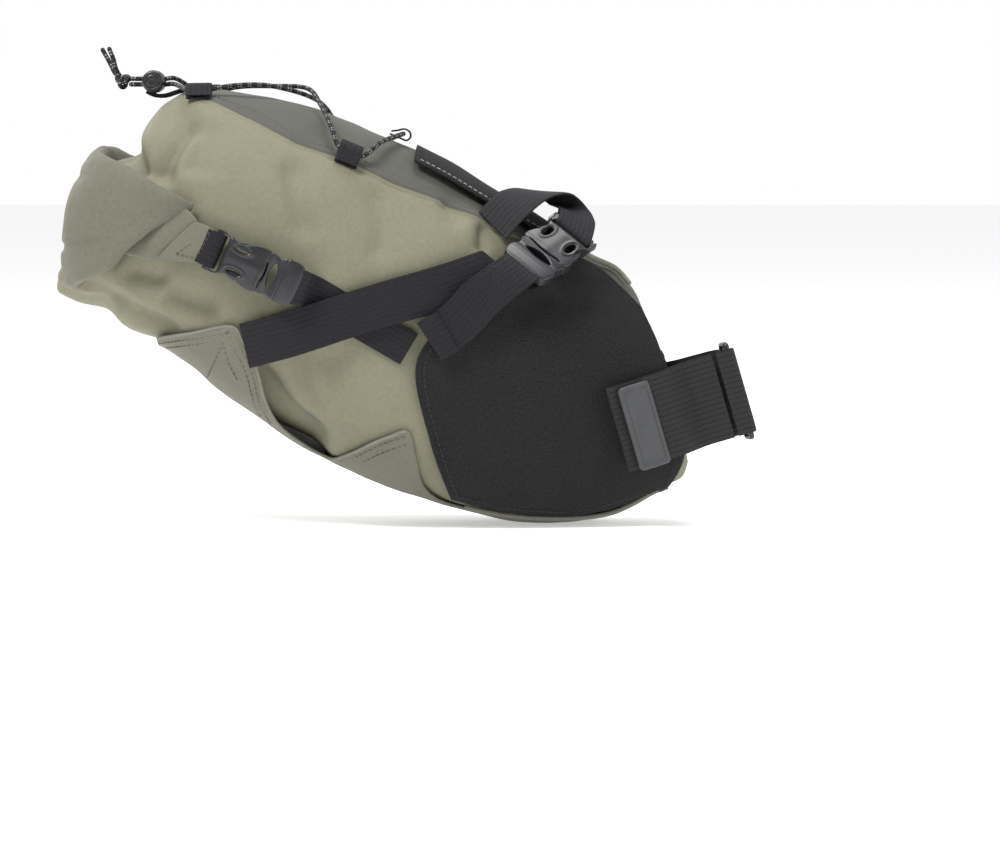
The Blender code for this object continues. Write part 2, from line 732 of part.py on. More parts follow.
def build_rail_strap(name, side, frame, parts, finishes):
    """Sewn to the bag's shoulder, over the saddle rail and round the rail buckle's fixed bar."""
    mirror = Vector((1, -side, 1))
    half = LIFT_STRAP_WIDTH / 2
    rows = []
    for middle, across in RAIL_STRAP:
        centre, reach = Vector(middle) * mirror, (Vector(across) * mirror).normalized() * half
        rows.append([centre + reach * share for share in (-1, 0, 1)])
    loop = list(reversed(webbing_round_bar(RAIL_BUCKLE, frame, False)))
    rows += matched(loop[1:], rows[-1])
    band("rail_strap_" + name, rows, parts, finishes["webbing"])


# ---------------------------------------------------------------- post strap

def post_point(ahead, y, up):
    """Point given ahead of the seatpost's axis, sideways, and along the post."""
    return POST_AHEAD * ahead + Vector((0, y, 0)) + POST_UP * up


def post_band(name, path, parts, finish, width=POST_STRAP_WIDTH, thickness=0.0014, steps=2):
    rows = [[post_point(ahead, y, width * share / 2) for share in (-1, 0, 1)] for ahead, y in path]
    return band(name, rows, parts, finish, thickness=thickness, steps=steps)


RING_BAR = (0.0225, -0.0182)           # strap side bar of the plastic ring: ahead, y
RING_FAR_BAR = (0.0200, -0.0080)
RING_BAR_RADIUS = 0.0015
FOLD_RADIUS = 0.0031
FLAP_HINGE = (0.0140, RING_BAR[1] - FOLD_RADIUS)
FLAP_CLEARANCE = 0.0012
BASE_STRAP = (
    (-0.0600, -0.0512), (-0.0450, -0.0465), (-0.0330, -0.0425), (-0.0240, -0.0380),
    (-0.0160, -0.0325), (-0.0060, -0.0200), (0.0040, -0.0160), (0.0180, -0.0151),
)
FLAP_STRAP = (
    (FLAP_HINGE[0] - FLAP_CLEARANCE, FLAP_HINGE[1]), (0.0060, -0.0215), (-0.0040, -0.0232),
    (-0.0160, -0.0365), (-0.0240, -0.0412), (-0.0330, -0.0458), (-0.0420, -0.0490),
    (-0.0515, -0.0520),
)
FAR_STRAP = (
    (-0.0450, 0.0465), (-0.0330, 0.0425), (-0.0240, 0.0380), (-0.0160, 0.0325), (-0.0060, 0.0205),
    (0.0050, 0.0165), (0.0130, 0.0130), (0.0175, 0.0060), (0.0188, -0.0010), (0.0190, -0.0045),
)


def build_post_strap(parts, finishes):
    ahead, y = RING_BAR
    fold = [
        (ahead + FOLD_RADIUS * sin(radians(angle)), y + FOLD_RADIUS * cos(radians(angle)))
        for angle in range(0, 181, 30)
    ]
    stub = (FLAP_HINGE[0] + FLAP_CLEARANCE, FLAP_HINGE[1])
    path = BASE_STRAP + tuple(fold) + (stub,)
    post_band("post_strap_base", path, parts, finishes["webbing"], steps=1)
    post_band("post_strap_flap", FLAP_STRAP, parts, finishes["webbing"])
    post_band("post_strap_far", FAR_STRAP, parts, finishes["webbing"])


def build_ring(parts, cutters, finishes):
    """Plastic ring: two long bars along the post, joined at both ends."""
    near, far = Vector((*RING_BAR, 0)), Vector((*RING_FAR_BAR, 0))
    middle = (near + far) / 2
    spread = (far - near).length
    origin = post_point(middle.x, middle.y, 0)
    along = post_point(far.x, far.y, 0) - post_point(near.x, near.y, 0)
    frame = local_frame(origin, along, POST_UP)
    outer = (spread + 2 * RING_BAR_RADIUS, 2 * RING_BAR_RADIUS, POST_STRAP_WIDTH + 0.008)
    inner = (spread - 2 * RING_BAR_RADIUS, 4 * RING_BAR_RADIUS, POST_STRAP_WIDTH + 0.002)
    ring = block("post_strap_ring", outer, (0, 0, 0), frame, parts, finishes["buckle_plastic"])
    window = block("post_strap_ring_window", inner, (0, 0, 0), frame, cutters, finishes["steel"])
    cut(ring, window)


LABEL_LENGTH, LABEL_WIDTH = 0.046, 0.0135


def build_label(parts, finishes):
    """Blank rubber pull tab on the flap's end."""
    path = ((-0.0370, -0.0495), (-0.0430, -0.0517), (-0.0500, -0.0540))
    post_band("post_strap_label", path, parts, finishes["rubber"], LABEL_LENGTH, 0.0016)


# ---------------------------------------------------------------- compression cord

CORD_LOCK_PLACE = Vector((-0.3165, 0.0, 0.1845))
CORD_LOCK_RADIUS = 0.0065
CORD_LOCK_LENGTH = 0.0180
CORD_LOCK_FLOOR = 0.0012
PLUNGER_RADIUS = 0.0048
PLUNGER_HEAD = 0.0050                  # stands out of the body at rest
PLUNGER_TRAVEL = 0.0025
SPRING_SPACE = 0.0044
STRAND_OFFSET = 0.0016                 # the cord's two strands lie one above the other
CORD_HOLE = (0.0044, 0.0068)           # width and height of the body's cross hole

KNOT_PLACE = Vector((-0.3347, 0.0, 0.1850))
KNOT_RADIUS = 0.0050
TAILS = (
    (Vector((-0.45, -0.40, 0.80)), (-0.3425, -0.0045, 0.1930), (-0.3395, -0.0060, 0.1975),
     (-0.3440, -0.0050, 0.2030)),
    (Vector((-0.70, 0.40, 0.60)), (-0.3450, 0.0040, 0.1920), (-0.3428, 0.0055, 0.1975),
     (-0.3480, 0.0060, 0.2025)),
)

CORD_LIFT = 0.0042
REAR_LOOP, SIDE_LOOP, FRONT_LOOP = (8.95, 24), (6.95, 40), (6.40, 0)   # station, angle in degrees
CROSSING = (7.60, 0)                   # where the two halves of the cord cross
CORD_TO_CROSSING = ((9.13, 24.3), REAR_LOOP, (8.78, 23.6), (8.45, 17), (8.05, 8))
CORD_FROM_CROSSING = ((7.37, 15), (7.20, 31), (7.10, 39.4), SIDE_LOOP, (6.80, 39.8), (6.62, 26))


def on_top(place, side, lift=CORD_LIFT):
    station, angle = place
    return skin(station, -side * radians(angle), lift)


def cord_half(side, crossing_lift):
    """Route from the cord lock to the front loop: over the crossing, so it ends on the other side."""
    strand = CORD_LOCK_PLACE.z + side * STRAND_OFFSET
    start = [
        Vector((KNOT_PLACE.x + KNOT_RADIUS + 0.0008, 0, strand)), Vector((-0.3230, 0, strand)),
        Vector((-0.3165, 0, strand)), Vector((-0.3100, 0, strand)),
        Vector((-0.3040, side * 0.0080, strand)),
    ]
    near = [on_top(place, side) for place in CORD_TO_CROSSING]
    far = [on_top(place, -side) for place in CORD_FROM_CROSSING]
    return start + near + [on_top(CROSSING, side, crossing_lift)] + far


def build_cord(parts, finishes):
    """One elastic cord: both ends pass the lock and join in the knot."""
    first = cord_half(RIGHT, CORD_LIFT)
    second = cord_half(LEFT, CORD_LIFT + CORD_DIAMETER + 0.0008)
    route = first + [on_top(FRONT_LOOP, RIGHT, CORD_LIFT + GAP)] + list(reversed(second))
    tube("shock_cord", route, CORD_DIAMETER / 2, parts, finishes["cord"], steps=2)
    bm = bmesh.new()
    bmesh.ops.create_uvsphere(bm, u_segments=12, v_segments=8, radius=KNOT_RADIUS)
    knot = object_from_bmesh("cord_knot", bm, parts, finishes["cord"])
    knot.location = KNOT_PLACE
    for index, (direction, *route) in enumerate(TAILS, start=1):
        start = KNOT_PLACE + direction.normalized() * (KNOT_RADIUS + 2 * GAP)
        tube(f"cord_tail_{index}", [start, *route], CORD_DIAMETER / 2, parts, finishes["cord"])


def lock_frame():
    """Cord lock's own frame: Z is along its plunger, which is pressed towards the left side."""
    return Matrix.Translation(CORD_LOCK_PLACE) @ Matrix.Rotation(-pi / 2, 4, "X")


def along_lock(name, radius, start, end, collection, finish):
    """Cylinder in the cord lock between two places along its axis."""
    frame = lock_frame() @ Matrix.Translation((0, 0, (start + end) / 2))
    return rod(name, radius, end - start, frame, collection, finish)


def build_cord_lock(parts, cutters, finishes):
    plastic, tool = finishes["buckle_plastic"], finishes["steel"]
    half = CORD_LOCK_LENGTH / 2
    floor = half - CORD_LOCK_FLOOR
    body = along_lock("cord_lock_body", CORD_LOCK_RADIUS, -half, half, parts, plastic)
    bore = along_lock("cord_lock_bore", PLUNGER_RADIUS + GAP, -half - 0.001, floor, cutters, tool)
    cut(body, bore)
    width, height = CORD_HOLE
    through = 4 * CORD_LOCK_RADIUS
    hole = block("cord_lock_hole", (through, height, width), (0, 0, 0), lock_frame(), cutters, tool)
    cut(body, hole)
    plunger_end = floor - SPRING_SPACE
    plunger_start = -half - PLUNGER_HEAD
    plunger = along_lock(
        "cord_lock_plunger", PLUNGER_RADIUS, plunger_start, plunger_end, parts, plastic)
    window_size = (through, height, width + PLUNGER_TRAVEL)
    window_place = (0, 0, -PLUNGER_TRAVEL / 2)
    window = block("cord_lock_window", window_size, window_place, lock_frame(), cutters, tool)
    cut(plunger, window)
    build_lock_spring(plunger_end, floor, parts, finishes)


def build_lock_spring(start, end, parts, finishes):
    turns, radius, wire = 3, 0.0034, 0.00025
    count = 12 * turns
    low, high = start + wire + GAP, end - wire - GAP
    route = [
        lock_frame() @ Vector((
            radius * cos(2 * pi * turns * i / count),
            radius * sin(2 * pi * turns * i / count),
            low + (high - low) * i / count,
        ))
        for i in range(count + 1)
    ]
    tube("cord_lock_spring", route, wire, parts, finishes["steel"], steps=1)


LOOP_WIDTH = 0.0120
LOOP_WEBBING = 0.0010
LOOP_PROFILE = (                       # down the flank, and out of the bag
    (0.0100, 0.0013), (0.0000, 0.0014), (-0.0045, 0.0016), (-0.0065, 0.0042), (-0.0045, 0.0068),
    (0.0005, 0.0073), (0.0060, 0.0047), (0.0100, 0.0031),
)


def build_loop(name, place, side, parts, finishes, width=LOOP_WIDTH, sideways=False):
    """Small webbing loop sewn to the bag, which guides the cord."""
    station, angle = place[0], -side * radians(place[1])
    origin = skin(station, angle)
    outward = skin(station, angle, 0.001) - origin
    along = skin(station - 0.1, angle) - origin
    if sideways:
        along = Vector((0, 1, 0))
    frame = local_frame(origin, along, outward)
    down = frame.to_3x3() @ Vector((0, 1, 0))
    flip = 1 if down.z < 0 or sideways else -1
    rows = [
        [frame @ Vector((share * width / 2, flip * across, out)) for share in (-1, 1)]
        for across, out in LOOP_PROFILE
    ]
    band(name, rows, parts, finishes["webbing"], thickness=LOOP_WEBBING)


def main():
    clear_scene()
    parts = new_collection(OBJECT_NAME)
    cutters = new_collection("cutters")
    finishes = {name: finish_for(name) for name in COLOURS}
    build_shell(parts, finishes)
    build_inside(parts, finishes)
    build_bottom_panel(parts, finishes)
    build_top_panel(parts, finishes)
    build_front_pad(parts, finishes)
    build_roll(parts, finishes)
    for name, side in SIDES:
        build_side_panel(name, side, parts, finishes)
        build_piping(name, side, parts, finishes)
        roll = buckle_frame(ROLL_BUCKLE, ROLL_BAR, ROLL_END, ROLL_OUTWARD, side)
        rail = buckle_frame(RAIL_BUCKLE, RAIL_BAR, RAIL_END, RAIL_OUTWARD, side)
        build_buckle("roll", name, ROLL_BUCKLE, roll, parts, cutters, finishes)
        build_buckle("rail", name, RAIL_BUCKLE, rail, parts, cutters, finishes)
        build_roll_tab(name, side, roll, parts, finishes)
        build_roll_strap(name, side, roll, parts, finishes)
        build_lift_strap(name, side, rail, parts, finishes)
        build_rail_strap(name, side, rail, parts, finishes)
        build_loop("cord_loop_rear_" + name, REAR_LOOP, side, parts, finishes)
        build_loop("cord_loop_side_" + name, SIDE_LOOP, side, parts, finishes)
    build_loop("cord_loop_front", FRONT_LOOP, RIGHT, parts, finishes, sideways=True)
    build_post_strap(parts, finishes)
    build_ring(parts, cutters, finishes)
    build_label(parts, finishes)
    build_cord_lock(parts, cutters, finishes)
    build_cord(parts, finishes)


main()
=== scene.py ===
"""Looks of the roll-top saddle bag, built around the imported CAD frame. Lengths are in metres."""
from math import copysign, cos, pi, radians, sin

import bmesh
import bpy
import numpy as np
from mathutils import Matrix, Vector, noise


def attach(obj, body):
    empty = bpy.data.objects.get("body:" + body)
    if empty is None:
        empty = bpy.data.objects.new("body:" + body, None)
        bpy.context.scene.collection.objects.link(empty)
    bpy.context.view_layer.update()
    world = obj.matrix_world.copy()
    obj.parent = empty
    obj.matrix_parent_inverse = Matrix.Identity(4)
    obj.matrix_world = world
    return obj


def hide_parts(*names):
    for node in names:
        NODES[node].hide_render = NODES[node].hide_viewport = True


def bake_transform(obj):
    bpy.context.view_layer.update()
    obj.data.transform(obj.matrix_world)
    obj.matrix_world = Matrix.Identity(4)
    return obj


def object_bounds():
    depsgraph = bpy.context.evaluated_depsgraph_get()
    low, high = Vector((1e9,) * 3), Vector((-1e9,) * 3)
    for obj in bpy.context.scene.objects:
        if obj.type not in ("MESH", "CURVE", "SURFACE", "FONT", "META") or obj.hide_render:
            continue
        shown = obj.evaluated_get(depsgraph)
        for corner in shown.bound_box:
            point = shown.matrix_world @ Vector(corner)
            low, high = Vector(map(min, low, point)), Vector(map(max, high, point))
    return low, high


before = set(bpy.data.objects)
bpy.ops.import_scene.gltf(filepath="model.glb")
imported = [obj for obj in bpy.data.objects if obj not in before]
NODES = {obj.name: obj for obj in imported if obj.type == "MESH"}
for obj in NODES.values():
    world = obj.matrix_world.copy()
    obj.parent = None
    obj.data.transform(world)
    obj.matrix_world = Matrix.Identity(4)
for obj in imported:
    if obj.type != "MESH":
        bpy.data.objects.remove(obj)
cad_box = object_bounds()

RIGHT, LEFT = -1, 1
SIDES = (("right", RIGHT), ("left", LEFT))
UV = "cut"                     # flat cloth coordinates of a piece, in metres

# ---------------------------------------------------------------- the bag's skin, as in the CAD part

STATIONS = np.array((
    (-0.0273, 0.0391, -0.0071, -0.0362, 0.0270),
    (-0.0359, 0.0615, -0.0112, -0.0454, 0.0315),
    (-0.0485, 0.0748, -0.0273, -0.0523, 0.0365),
    (-0.0646, 0.0834, -0.0531, -0.0650, 0.0425),
    (-0.0905, 0.1024, -0.0848, -0.0679, 0.0505),
    (-0.1221, 0.1213, -0.1221, -0.0644, 0.0585),
    (-0.1566, 0.1420, -0.1739, -0.0500, 0.0680),
    (-0.2026, 0.1622, -0.2256, -0.0265, 0.0755),
    (-0.2486, 0.1783, -0.2688, 0.0029, 0.0795),
    (-0.2889, 0.1811, -0.3033, 0.0299, 0.0800),
    (-0.3100, 0.1740, -0.3290, 0.0415, 0.0750),
    (-0.3260, 0.1530, -0.3425, 0.0520, 0.0660),
))
MOUTH = np.array((             # cloth past the last CAD section, drawn into the roll
    (-0.3365, 0.1430, -0.3590, 0.0560, 0.0640),
    (-0.3450, 0.1360, -0.3705, 0.0625, 0.0590),
    (-0.3490, 0.1300, -0.3712, 0.0690, 0.0540),
))
LAST_STATION = len(STATIONS) - 1
TOP_POWER, BOTTOM_POWER = 2.3, 3.2
PANEL_LIFT = 0.0014
WEBBING = 0.0012


def spline(values, place):
    """Catmull-Rom values at places counted in whole entries."""
    values, place = np.asarray(values, float), np.asarray(place, float)
    last = len(values) - 1
    index = np.clip(place.astype(int), 0, last - 1)
    t = (place - index)[..., None]
    a, b = values[np.maximum(index - 1, 0)], values[index]
    c, d = values[index + 1], values[np.minimum(index + 2, last)]
    return b + 0.5 * t * (c - a + t * (2 * a - 5 * b + 4 * c - d + t * (3 * (b - c) + d - a)))


def section(station, table=STATIONS):
    v = spline(table, station)
    zero = np.zeros_like(v[..., 0])
    top = np.stack((v[..., 0], zero, v[..., 1]), -1)
    bottom = np.stack((v[..., 2], zero, v[..., 3]), -1)
    return (top + bottom) / 2, (top - bottom) / 2, v[..., 4]


def rounded(value, power):
    return np.sign(value) * np.abs(value) ** (2 / power)


def bare_skin(station, angle, table=STATIONS):
    station, angle = np.broadcast_arrays(np.asarray(station, float), np.asarray(angle, float))
    middle, half_height, half_width = section(station, table)
    power = np.where(np.cos(angle) > 0, TOP_POWER, BOTTOM_POWER)
    across = np.zeros_like(middle)
    across[..., 1] = -half_width * rounded(np.sin(angle), power)
    return middle + half_height * rounded(np.cos(angle), power)[..., None] + across


def unit(v):
    return v / np.maximum(np.linalg.norm(v, axis=-1, keepdims=True), 1e-12)


def skin(station, angle, lift=0.0, table=STATIONS):
    """Points on the bag and their normals; angle runs from the top line, positive to the right."""
    station, angle = np.broadcast_arrays(np.asarray(station, float), np.asarray(angle, float))
    rearward = bare_skin(station + 0.01, angle, table) - bare_skin(station - 0.01, angle, table)
    around = bare_skin(station, angle + 0.01, table) - bare_skin(station, angle - 0.01, table)
    outward = unit(np.cross(around, rearward))
    point = bare_skin(station, angle, table)
    middle = section(station, table)[0]
    flip = np.sign((outward * (point - middle)).sum(-1, keepdims=True))
    outward = outward * np.where(flip == 0, 1, flip)
    return point + outward * np.asarray(lift)[..., None], outward


def station_share(x, z):
    """Station whose section passes through (x, z) in side view, and how far up it the point is."""
    x, z = np.broadcast_arrays(np.asarray(x, float), np.asarray(z, float))
    low, high = np.zeros(x.shape), np.full(x.shape, float(LAST_STATION))
    for _ in range(26):
        station = (low + high) / 2
        middle, half, _ = section(station)
        turn = half[..., 2] * (x - middle[..., 0]) - half[..., 0] * (z - middle[..., 2])
        low, high = np.where(turn < 0, station, low), np.where(turn < 0, high, station)
    middle, half, _ = section(station)
    share = ((x - middle[..., 0]) * half[..., 0] + (z - middle[..., 2]) * half[..., 2]) / (half ** 2).sum(-1)
    return station, np.clip(share, -0.985, 0.985)


def side_depth(x, z):
    station, share = station_share(x, z)
    power = np.where(share > 0, TOP_POWER, BOTTOM_POWER)
    return section(station)[2] * (1 - np.abs(share) ** power) ** (1 / power)


def side_point(x, z, side, lift=0.0):
    """Points on the side wall seen at (x, z), and their normals."""
    step = 0.0015
    slope_x = (side_depth(x + step, z) - side_depth(x - step, z)) / (2 * step)
    slope_z = (side_depth(x, z + step) - side_depth(x, z - step)) / (2 * step)
    outward = unit(np.stack((-slope_x, np.full_like(slope_x, side), -slope_z), -1))
    point = np.stack((x, side * side_depth(x, z), z), -1)
    return point + outward * np.asarray(lift)[..., None], outward


def edge_angle(x, z):
    station, share = station_share(x, z)
    power = np.where(share > 0, TOP_POWER, BOTTOM_POWER)
    return station, np.arccos(np.sign(share) * np.abs(share) ** (power / 2))


# ---------------------------------------------------------------- materials

class Nodes:
    """Short calls for building a material's node tree."""

    def __init__(self, name):
        self.material = bpy.data.materials.new(name)
        self.material.use_nodes = True
        self.tree = self.material.node_tree
        self.shader = self.tree.nodes["Principled BSDF"]

    def new(self, kind, inputs=None, **settings):
        node = self.tree.nodes.new("ShaderNode" + kind)
        for key, value in settings.items():
            setattr(node, key, value)
        for key, value in (inputs or {}).items():
            self.put(node.inputs[key], value)
        return node

    def put(self, socket, value):
        if isinstance(value, bpy.types.NodeSocket):
            self.tree.links.new(value, socket)
        else:
            socket.default_value = value

    def math(self, operation, a, b=0.0, clamp=False):
        return self.new("Math", {0: a, 1: b}, operation=operation, use_clamp=clamp).outputs[0]

    def ramp(self, value, low, high):
        """0 below low, 1 above high."""
        return self.new("MapRange", {"Value": value, "From Min": low, "From Max": high}).outputs[0]

    def noise(self, vector, scale, detail=3.0, roughness=0.55):
        return self.new("TexNoise", {
            "Vector": vector, "Scale": scale, "Detail": detail, "Roughness": roughness}).outputs["Fac"]

    def mix(self, factor, a, b):
        node = self.new("Mix", data_type="RGBA")
        self.put(node.inputs["Factor"], factor)
        self.put(node.inputs["A"], a)
        self.put(node.inputs["B"], b)
        return node.outputs["Result"]

    def cloth(self):
        return self.new("UVMap", uv_map=UV).outputs["UV"]

    def place(self):
        return self.new("TexCoord").outputs["Object"]

    def bump(self, height, distance, strength=1.0, normal=None):
        node = self.new("Bump", {"Height": height, "Distance": distance, "Strength": strength})
        if normal is not None:
            self.put(node.inputs["Normal"], normal)
        return node.outputs["Normal"]

    def weave(self, vector, pitch_u, pitch_v):
        """Height of a plain weave, and which of the two thread directions is on top."""
        split = self.new("SeparateXYZ", {"Vector": vector})
        su = self.math("SINE", self.math("MULTIPLY", split.outputs[0], pi / pitch_u))
        sv = self.math("SINE", self.math("MULTIPLY", split.outputs[1], pi / pitch_v))
        parity = self.math("GREATER_THAN", self.math("MULTIPLY", su, sv), 0.0)
        au, av = self.math("ABSOLUTE", su), self.math("ABSOLUTE", sv)
        one = self.math("MULTIPLY", au, self.math("POWER", av, 0.35))
        two = self.math("MULTIPLY", av, self.math("POWER", au, 0.35))
        height = self.new("Mix", data_type="FLOAT")
        self.put(height.inputs["Factor"], parity)
        self.put(height.inputs["A"], one)
        self.put(height.inputs["B"], two)
        return height.outputs["Result"], parity

    def finish(self, colour, roughness, normal=None, sheen=0.0, sheen_roughness=0.5, specular=0.5):
        self.put(self.shader.inputs["Base Color"], colour)
        self.put(self.shader.inputs["Roughness"], roughness)
        if normal is not None:
            self.put(self.shader.inputs["Normal"], normal)
        self.shader.inputs["Sheen Weight"].default_value = sheen
        self.shader.inputs["Sheen Roughness"].default_value = sheen_roughness
        self.shader.inputs["Specular IOR Level"].default_value = specular
        return self.material


DIM = 0.52


def rgb(*values):
    """Linear colour from display values out of 255, dimmed for the bright studio."""
    linear = ((v / 255 / 12.92) if v <= 10 else ((v / 255 + 0.055) / 1.055) ** 2.4 for v in values)
    return tuple(DIM * v for v in linear) + (1.0,)


def coated_nylon(name, light, dark, pitch=0.0008, relief=0.00007, painted_top_shade=None):
    """Fine plain-weave nylon: thread tones, mottling, rubbed high places; an optional darker grey is painted
    shade on the bag's top, above its seam.
    """
    n = Nodes(name)
    cloth, place = n.cloth(), n.place()
    height, parity = n.weave(cloth, pitch, pitch)
    mottle = n.noise(place, 420.0, 4.0, 0.7)
    patches = n.noise(place, 16.0, 3.0)
    slub = n.noise(n.new("Mapping", {"Vector": cloth, "Scale": (90.0, 2600.0, 1.0)}).outputs[0], 1.0, 2.0)
    tone = n.mix(n.ramp(mottle, 0.25, 0.75), dark, light)
    # painted shade on the bag's top: above the top seam the cloth turns darker grey
    if painted_top_shade is not None:
        side = n.new("Attribute", attribute_name="painted_top_shade").outputs["Fac"]
        tone = n.mix(n.ramp(side, -0.0002, 0.0002), tone, painted_top_shade)
    tone = n.mix(n.math("MULTIPLY", n.ramp(slub, 0.35, 0.75), 0.16), tone, dark)
    tone = n.mix(n.math("MULTIPLY", parity, 0.10), tone, rgb(190, 189, 170))
    tone = n.mix(n.math("MULTIPLY", n.ramp(patches, 0.45, 0.8), 0.14), tone, dark)
    # painted shade in the weave's low places between the threads
    valley = n.math("SUBTRACT", 1.0, height)
    tone = n.mix(n.math("MULTIPLY", valley, 0.22), tone, rgb(70, 68, 58))
    worn = n.ramp(n.new("NewGeometry").outputs["Pointiness"], 0.52, 0.62)
    tone = n.mix(n.math("MULTIPLY", worn, 0.25), tone, rgb(176, 174, 158))
    normal = n.bump(height, relief, 0.55)
    normal = n.bump(mottle, 0.00012, 0.25, normal)
    rough = n.math("ADD", 0.62, n.math("MULTIPLY", patches, 0.16))
    return n.finish(tone, rough, normal, sheen=0.03, specular=0.2)


def ballistic(name):
    """Coarse black basket weave with single light-catching threads."""
    n = Nodes(name)
    cloth, place = n.cloth(), n.place()
    height, parity = n.weave(cloth, 0.00125, 0.00125)
    cells = n.new("Mapping", {"Vector": cloth, "Scale": (800.0, 800.0, 1.0)}).outputs[0]
    threads = n.noise(cells, 1.0, 2.0, 0.8)
    patches = n.noise(place, 14.0)
    tone = n.mix(n.ramp(threads, 0.35, 0.78), rgb(30, 30, 31), rgb(64, 64, 66))
    tone = n.mix(n.math("MULTIPLY", parity, 0.35), tone, rgb(56, 56, 60))
    # painted shade, near black, in the weave's low places between the threads
    tone = n.mix(n.math("MULTIPLY", n.math("SUBTRACT", 1.0, height), 0.7), tone, rgb(13, 13, 14))
    tone = n.mix(n.math("MULTIPLY", n.ramp(patches, 0.5, 0.8), 0.25), tone, rgb(60, 60, 60))
    normal = n.bump(height, 0.00028, 0.8)
    return n.finish(tone, n.math("ADD", 0.70, n.math("MULTIPLY", patches, 0.15)), normal,
                    sheen=0.01, specular=0.16)


def ribbed_webbing(name, tint=(42, 40, 46)):
    """Nylon webbing: lengthwise ribs crossed by fine picks; U runs along it."""
    n = Nodes(name)
    cloth, place = n.cloth(), n.place()
    height, _ = n.weave(cloth, 0.0011, 0.00155)
    split = n.new("SeparateXYZ", {"Vector": cloth})
    rib = n.math("ABSOLUTE", n.math("SINE", n.math("MULTIPLY", split.outputs[1], pi / 0.0031)))
    fuzz = n.noise(place, 900.0, 3.0, 0.7)
    patches = n.noise(place, 30.0)
    both = n.math("ADD", n.math("MULTIPLY", height, 0.7), n.math("MULTIPLY", rib, 0.45))
    dark, light = rgb(*(v * 0.42 for v in tint)), rgb(*(v * 1.22 for v in tint))
    # painted shade in the low places between ribs and picks, lighter on the raised threads
    tone = n.mix(n.ramp(both, 0.15, 1.05), dark, light)
    tone = n.mix(n.math("MULTIPLY", n.ramp(fuzz, 0.5, 0.8), 0.3), tone, rgb(74, 72, 78))
    tone = n.mix(n.math("MULTIPLY", patches, 0.25), tone, dark)
    normal = n.bump(both, 0.00032, 0.85)
    return n.finish(tone, n.math("ADD", 0.52, n.math("MULTIPLY", fuzz, 0.2)), normal, sheen=0.01,
                    specular=0.2)


def moulded_plastic(name, base, light, roughness=0.34, grain=0.00004):
    """Satin moulded plastic with a fine grain, rubbed edges and faint handling marks."""
    n = Nodes(name)
    place = n.place()
    fine, marks = n.noise(place, 2600.0, 2.0, 0.6), n.noise(place, 90.0, 4.0, 0.7)
    worn = n.ramp(n.new("NewGeometry").outputs["Pointiness"], 0.53, 0.66)
    tone = n.mix(n.math("MULTIPLY", n.ramp(marks, 0.5, 0.8), 0.35), base, light)
    tone = n.mix(n.math("MULTIPLY", worn, 0.5), tone, light)
    rough = n.math("ADD", roughness - 0.05, n.math("MULTIPLY", marks, 0.16))
    return n.finish(tone, rough, n.bump(fine, grain, 0.5), specular=0.5)


def braided_cord(name):
    """Black braid with pale flecks; U runs along it and V round it, both in metres."""
    n = Nodes(name)
    split = n.new("SeparateXYZ", {"Vector": n.cloth()})
    along = n.math("MULTIPLY", split.outputs[0], 2 * pi / 0.0034)
    around = n.math("MULTIPLY", split.outputs[1], 2 * pi * 3 / (pi * 0.003))
    one = n.math("SINE", n.math("ADD", along, around))
    two = n.math("SINE", n.math("SUBTRACT", along, around))
    strands = n.math("MAXIMUM", one, two)
    fleck = n.ramp(n.math("MULTIPLY", n.math("MULTIPLY", one, two), 1.0), 0.42, 0.55)
    chosen = n.math("GREATER_THAN", n.math("SINE", n.math("MULTIPLY", along, 0.5)), -0.1)
    fuzz = n.noise(n.place(), 1500.0)
    # painted shade in the grooves between the braid's strands, lighter on their crests
    tone = n.mix(n.ramp(strands, -0.3, 1.0), rgb(12, 12, 13), rgb(44, 43, 46))
    tone = n.mix(n.math("MULTIPLY", n.math("MULTIPLY", fleck, chosen), 0.9), tone, rgb(214, 212, 206))
    normal = n.bump(n.math("ADD", strands, n.math("MULTIPLY", fuzz, 0.4)), 0.00022, 0.9)
    return n.finish(tone, 0.66, normal, specular=0.3)


def thread(name, colour):
    n = Nodes(name)
    twist = n.noise(n.place(), 3500.0, 2.0)
    tone = n.mix(n.ramp(twist, 0.35, 0.7), colour, tuple(c * 1.5 for c in colour[:3]) + (1.0,))
    return n.finish(tone, 0.6, n.bump(twist, 0.00005, 0.6))


def rubber(name, base, light):
    n = Nodes(name)
    place = n.place()
    grain, dust = n.noise(place, 1900.0, 3.0, 0.6), n.noise(place, 60.0, 4.0, 0.7)
    tone = n.mix(n.math("MULTIPLY", n.ramp(dust, 0.4, 0.8), 0.5), base, light)
    return n.finish(tone, n.math("ADD", 0.52, n.math("MULTIPLY", dust, 0.14)), n.bump(grain, 0.00007, 0.6),
                    specular=0.35)


def wire(name):
    n = Nodes(name)
    marks = n.noise(n.place(), 700.0, 3.0)
    n.shader.inputs["Metallic"].default_value = 1.0
    return n.finish(n.mix(marks, rgb(150, 150, 152), rgb(205, 205, 208)),
                    n.math("ADD", 0.22, n.math("MULTIPLY", marks, 0.15)),
                    n.bump(marks, 0.00002, 0.4))


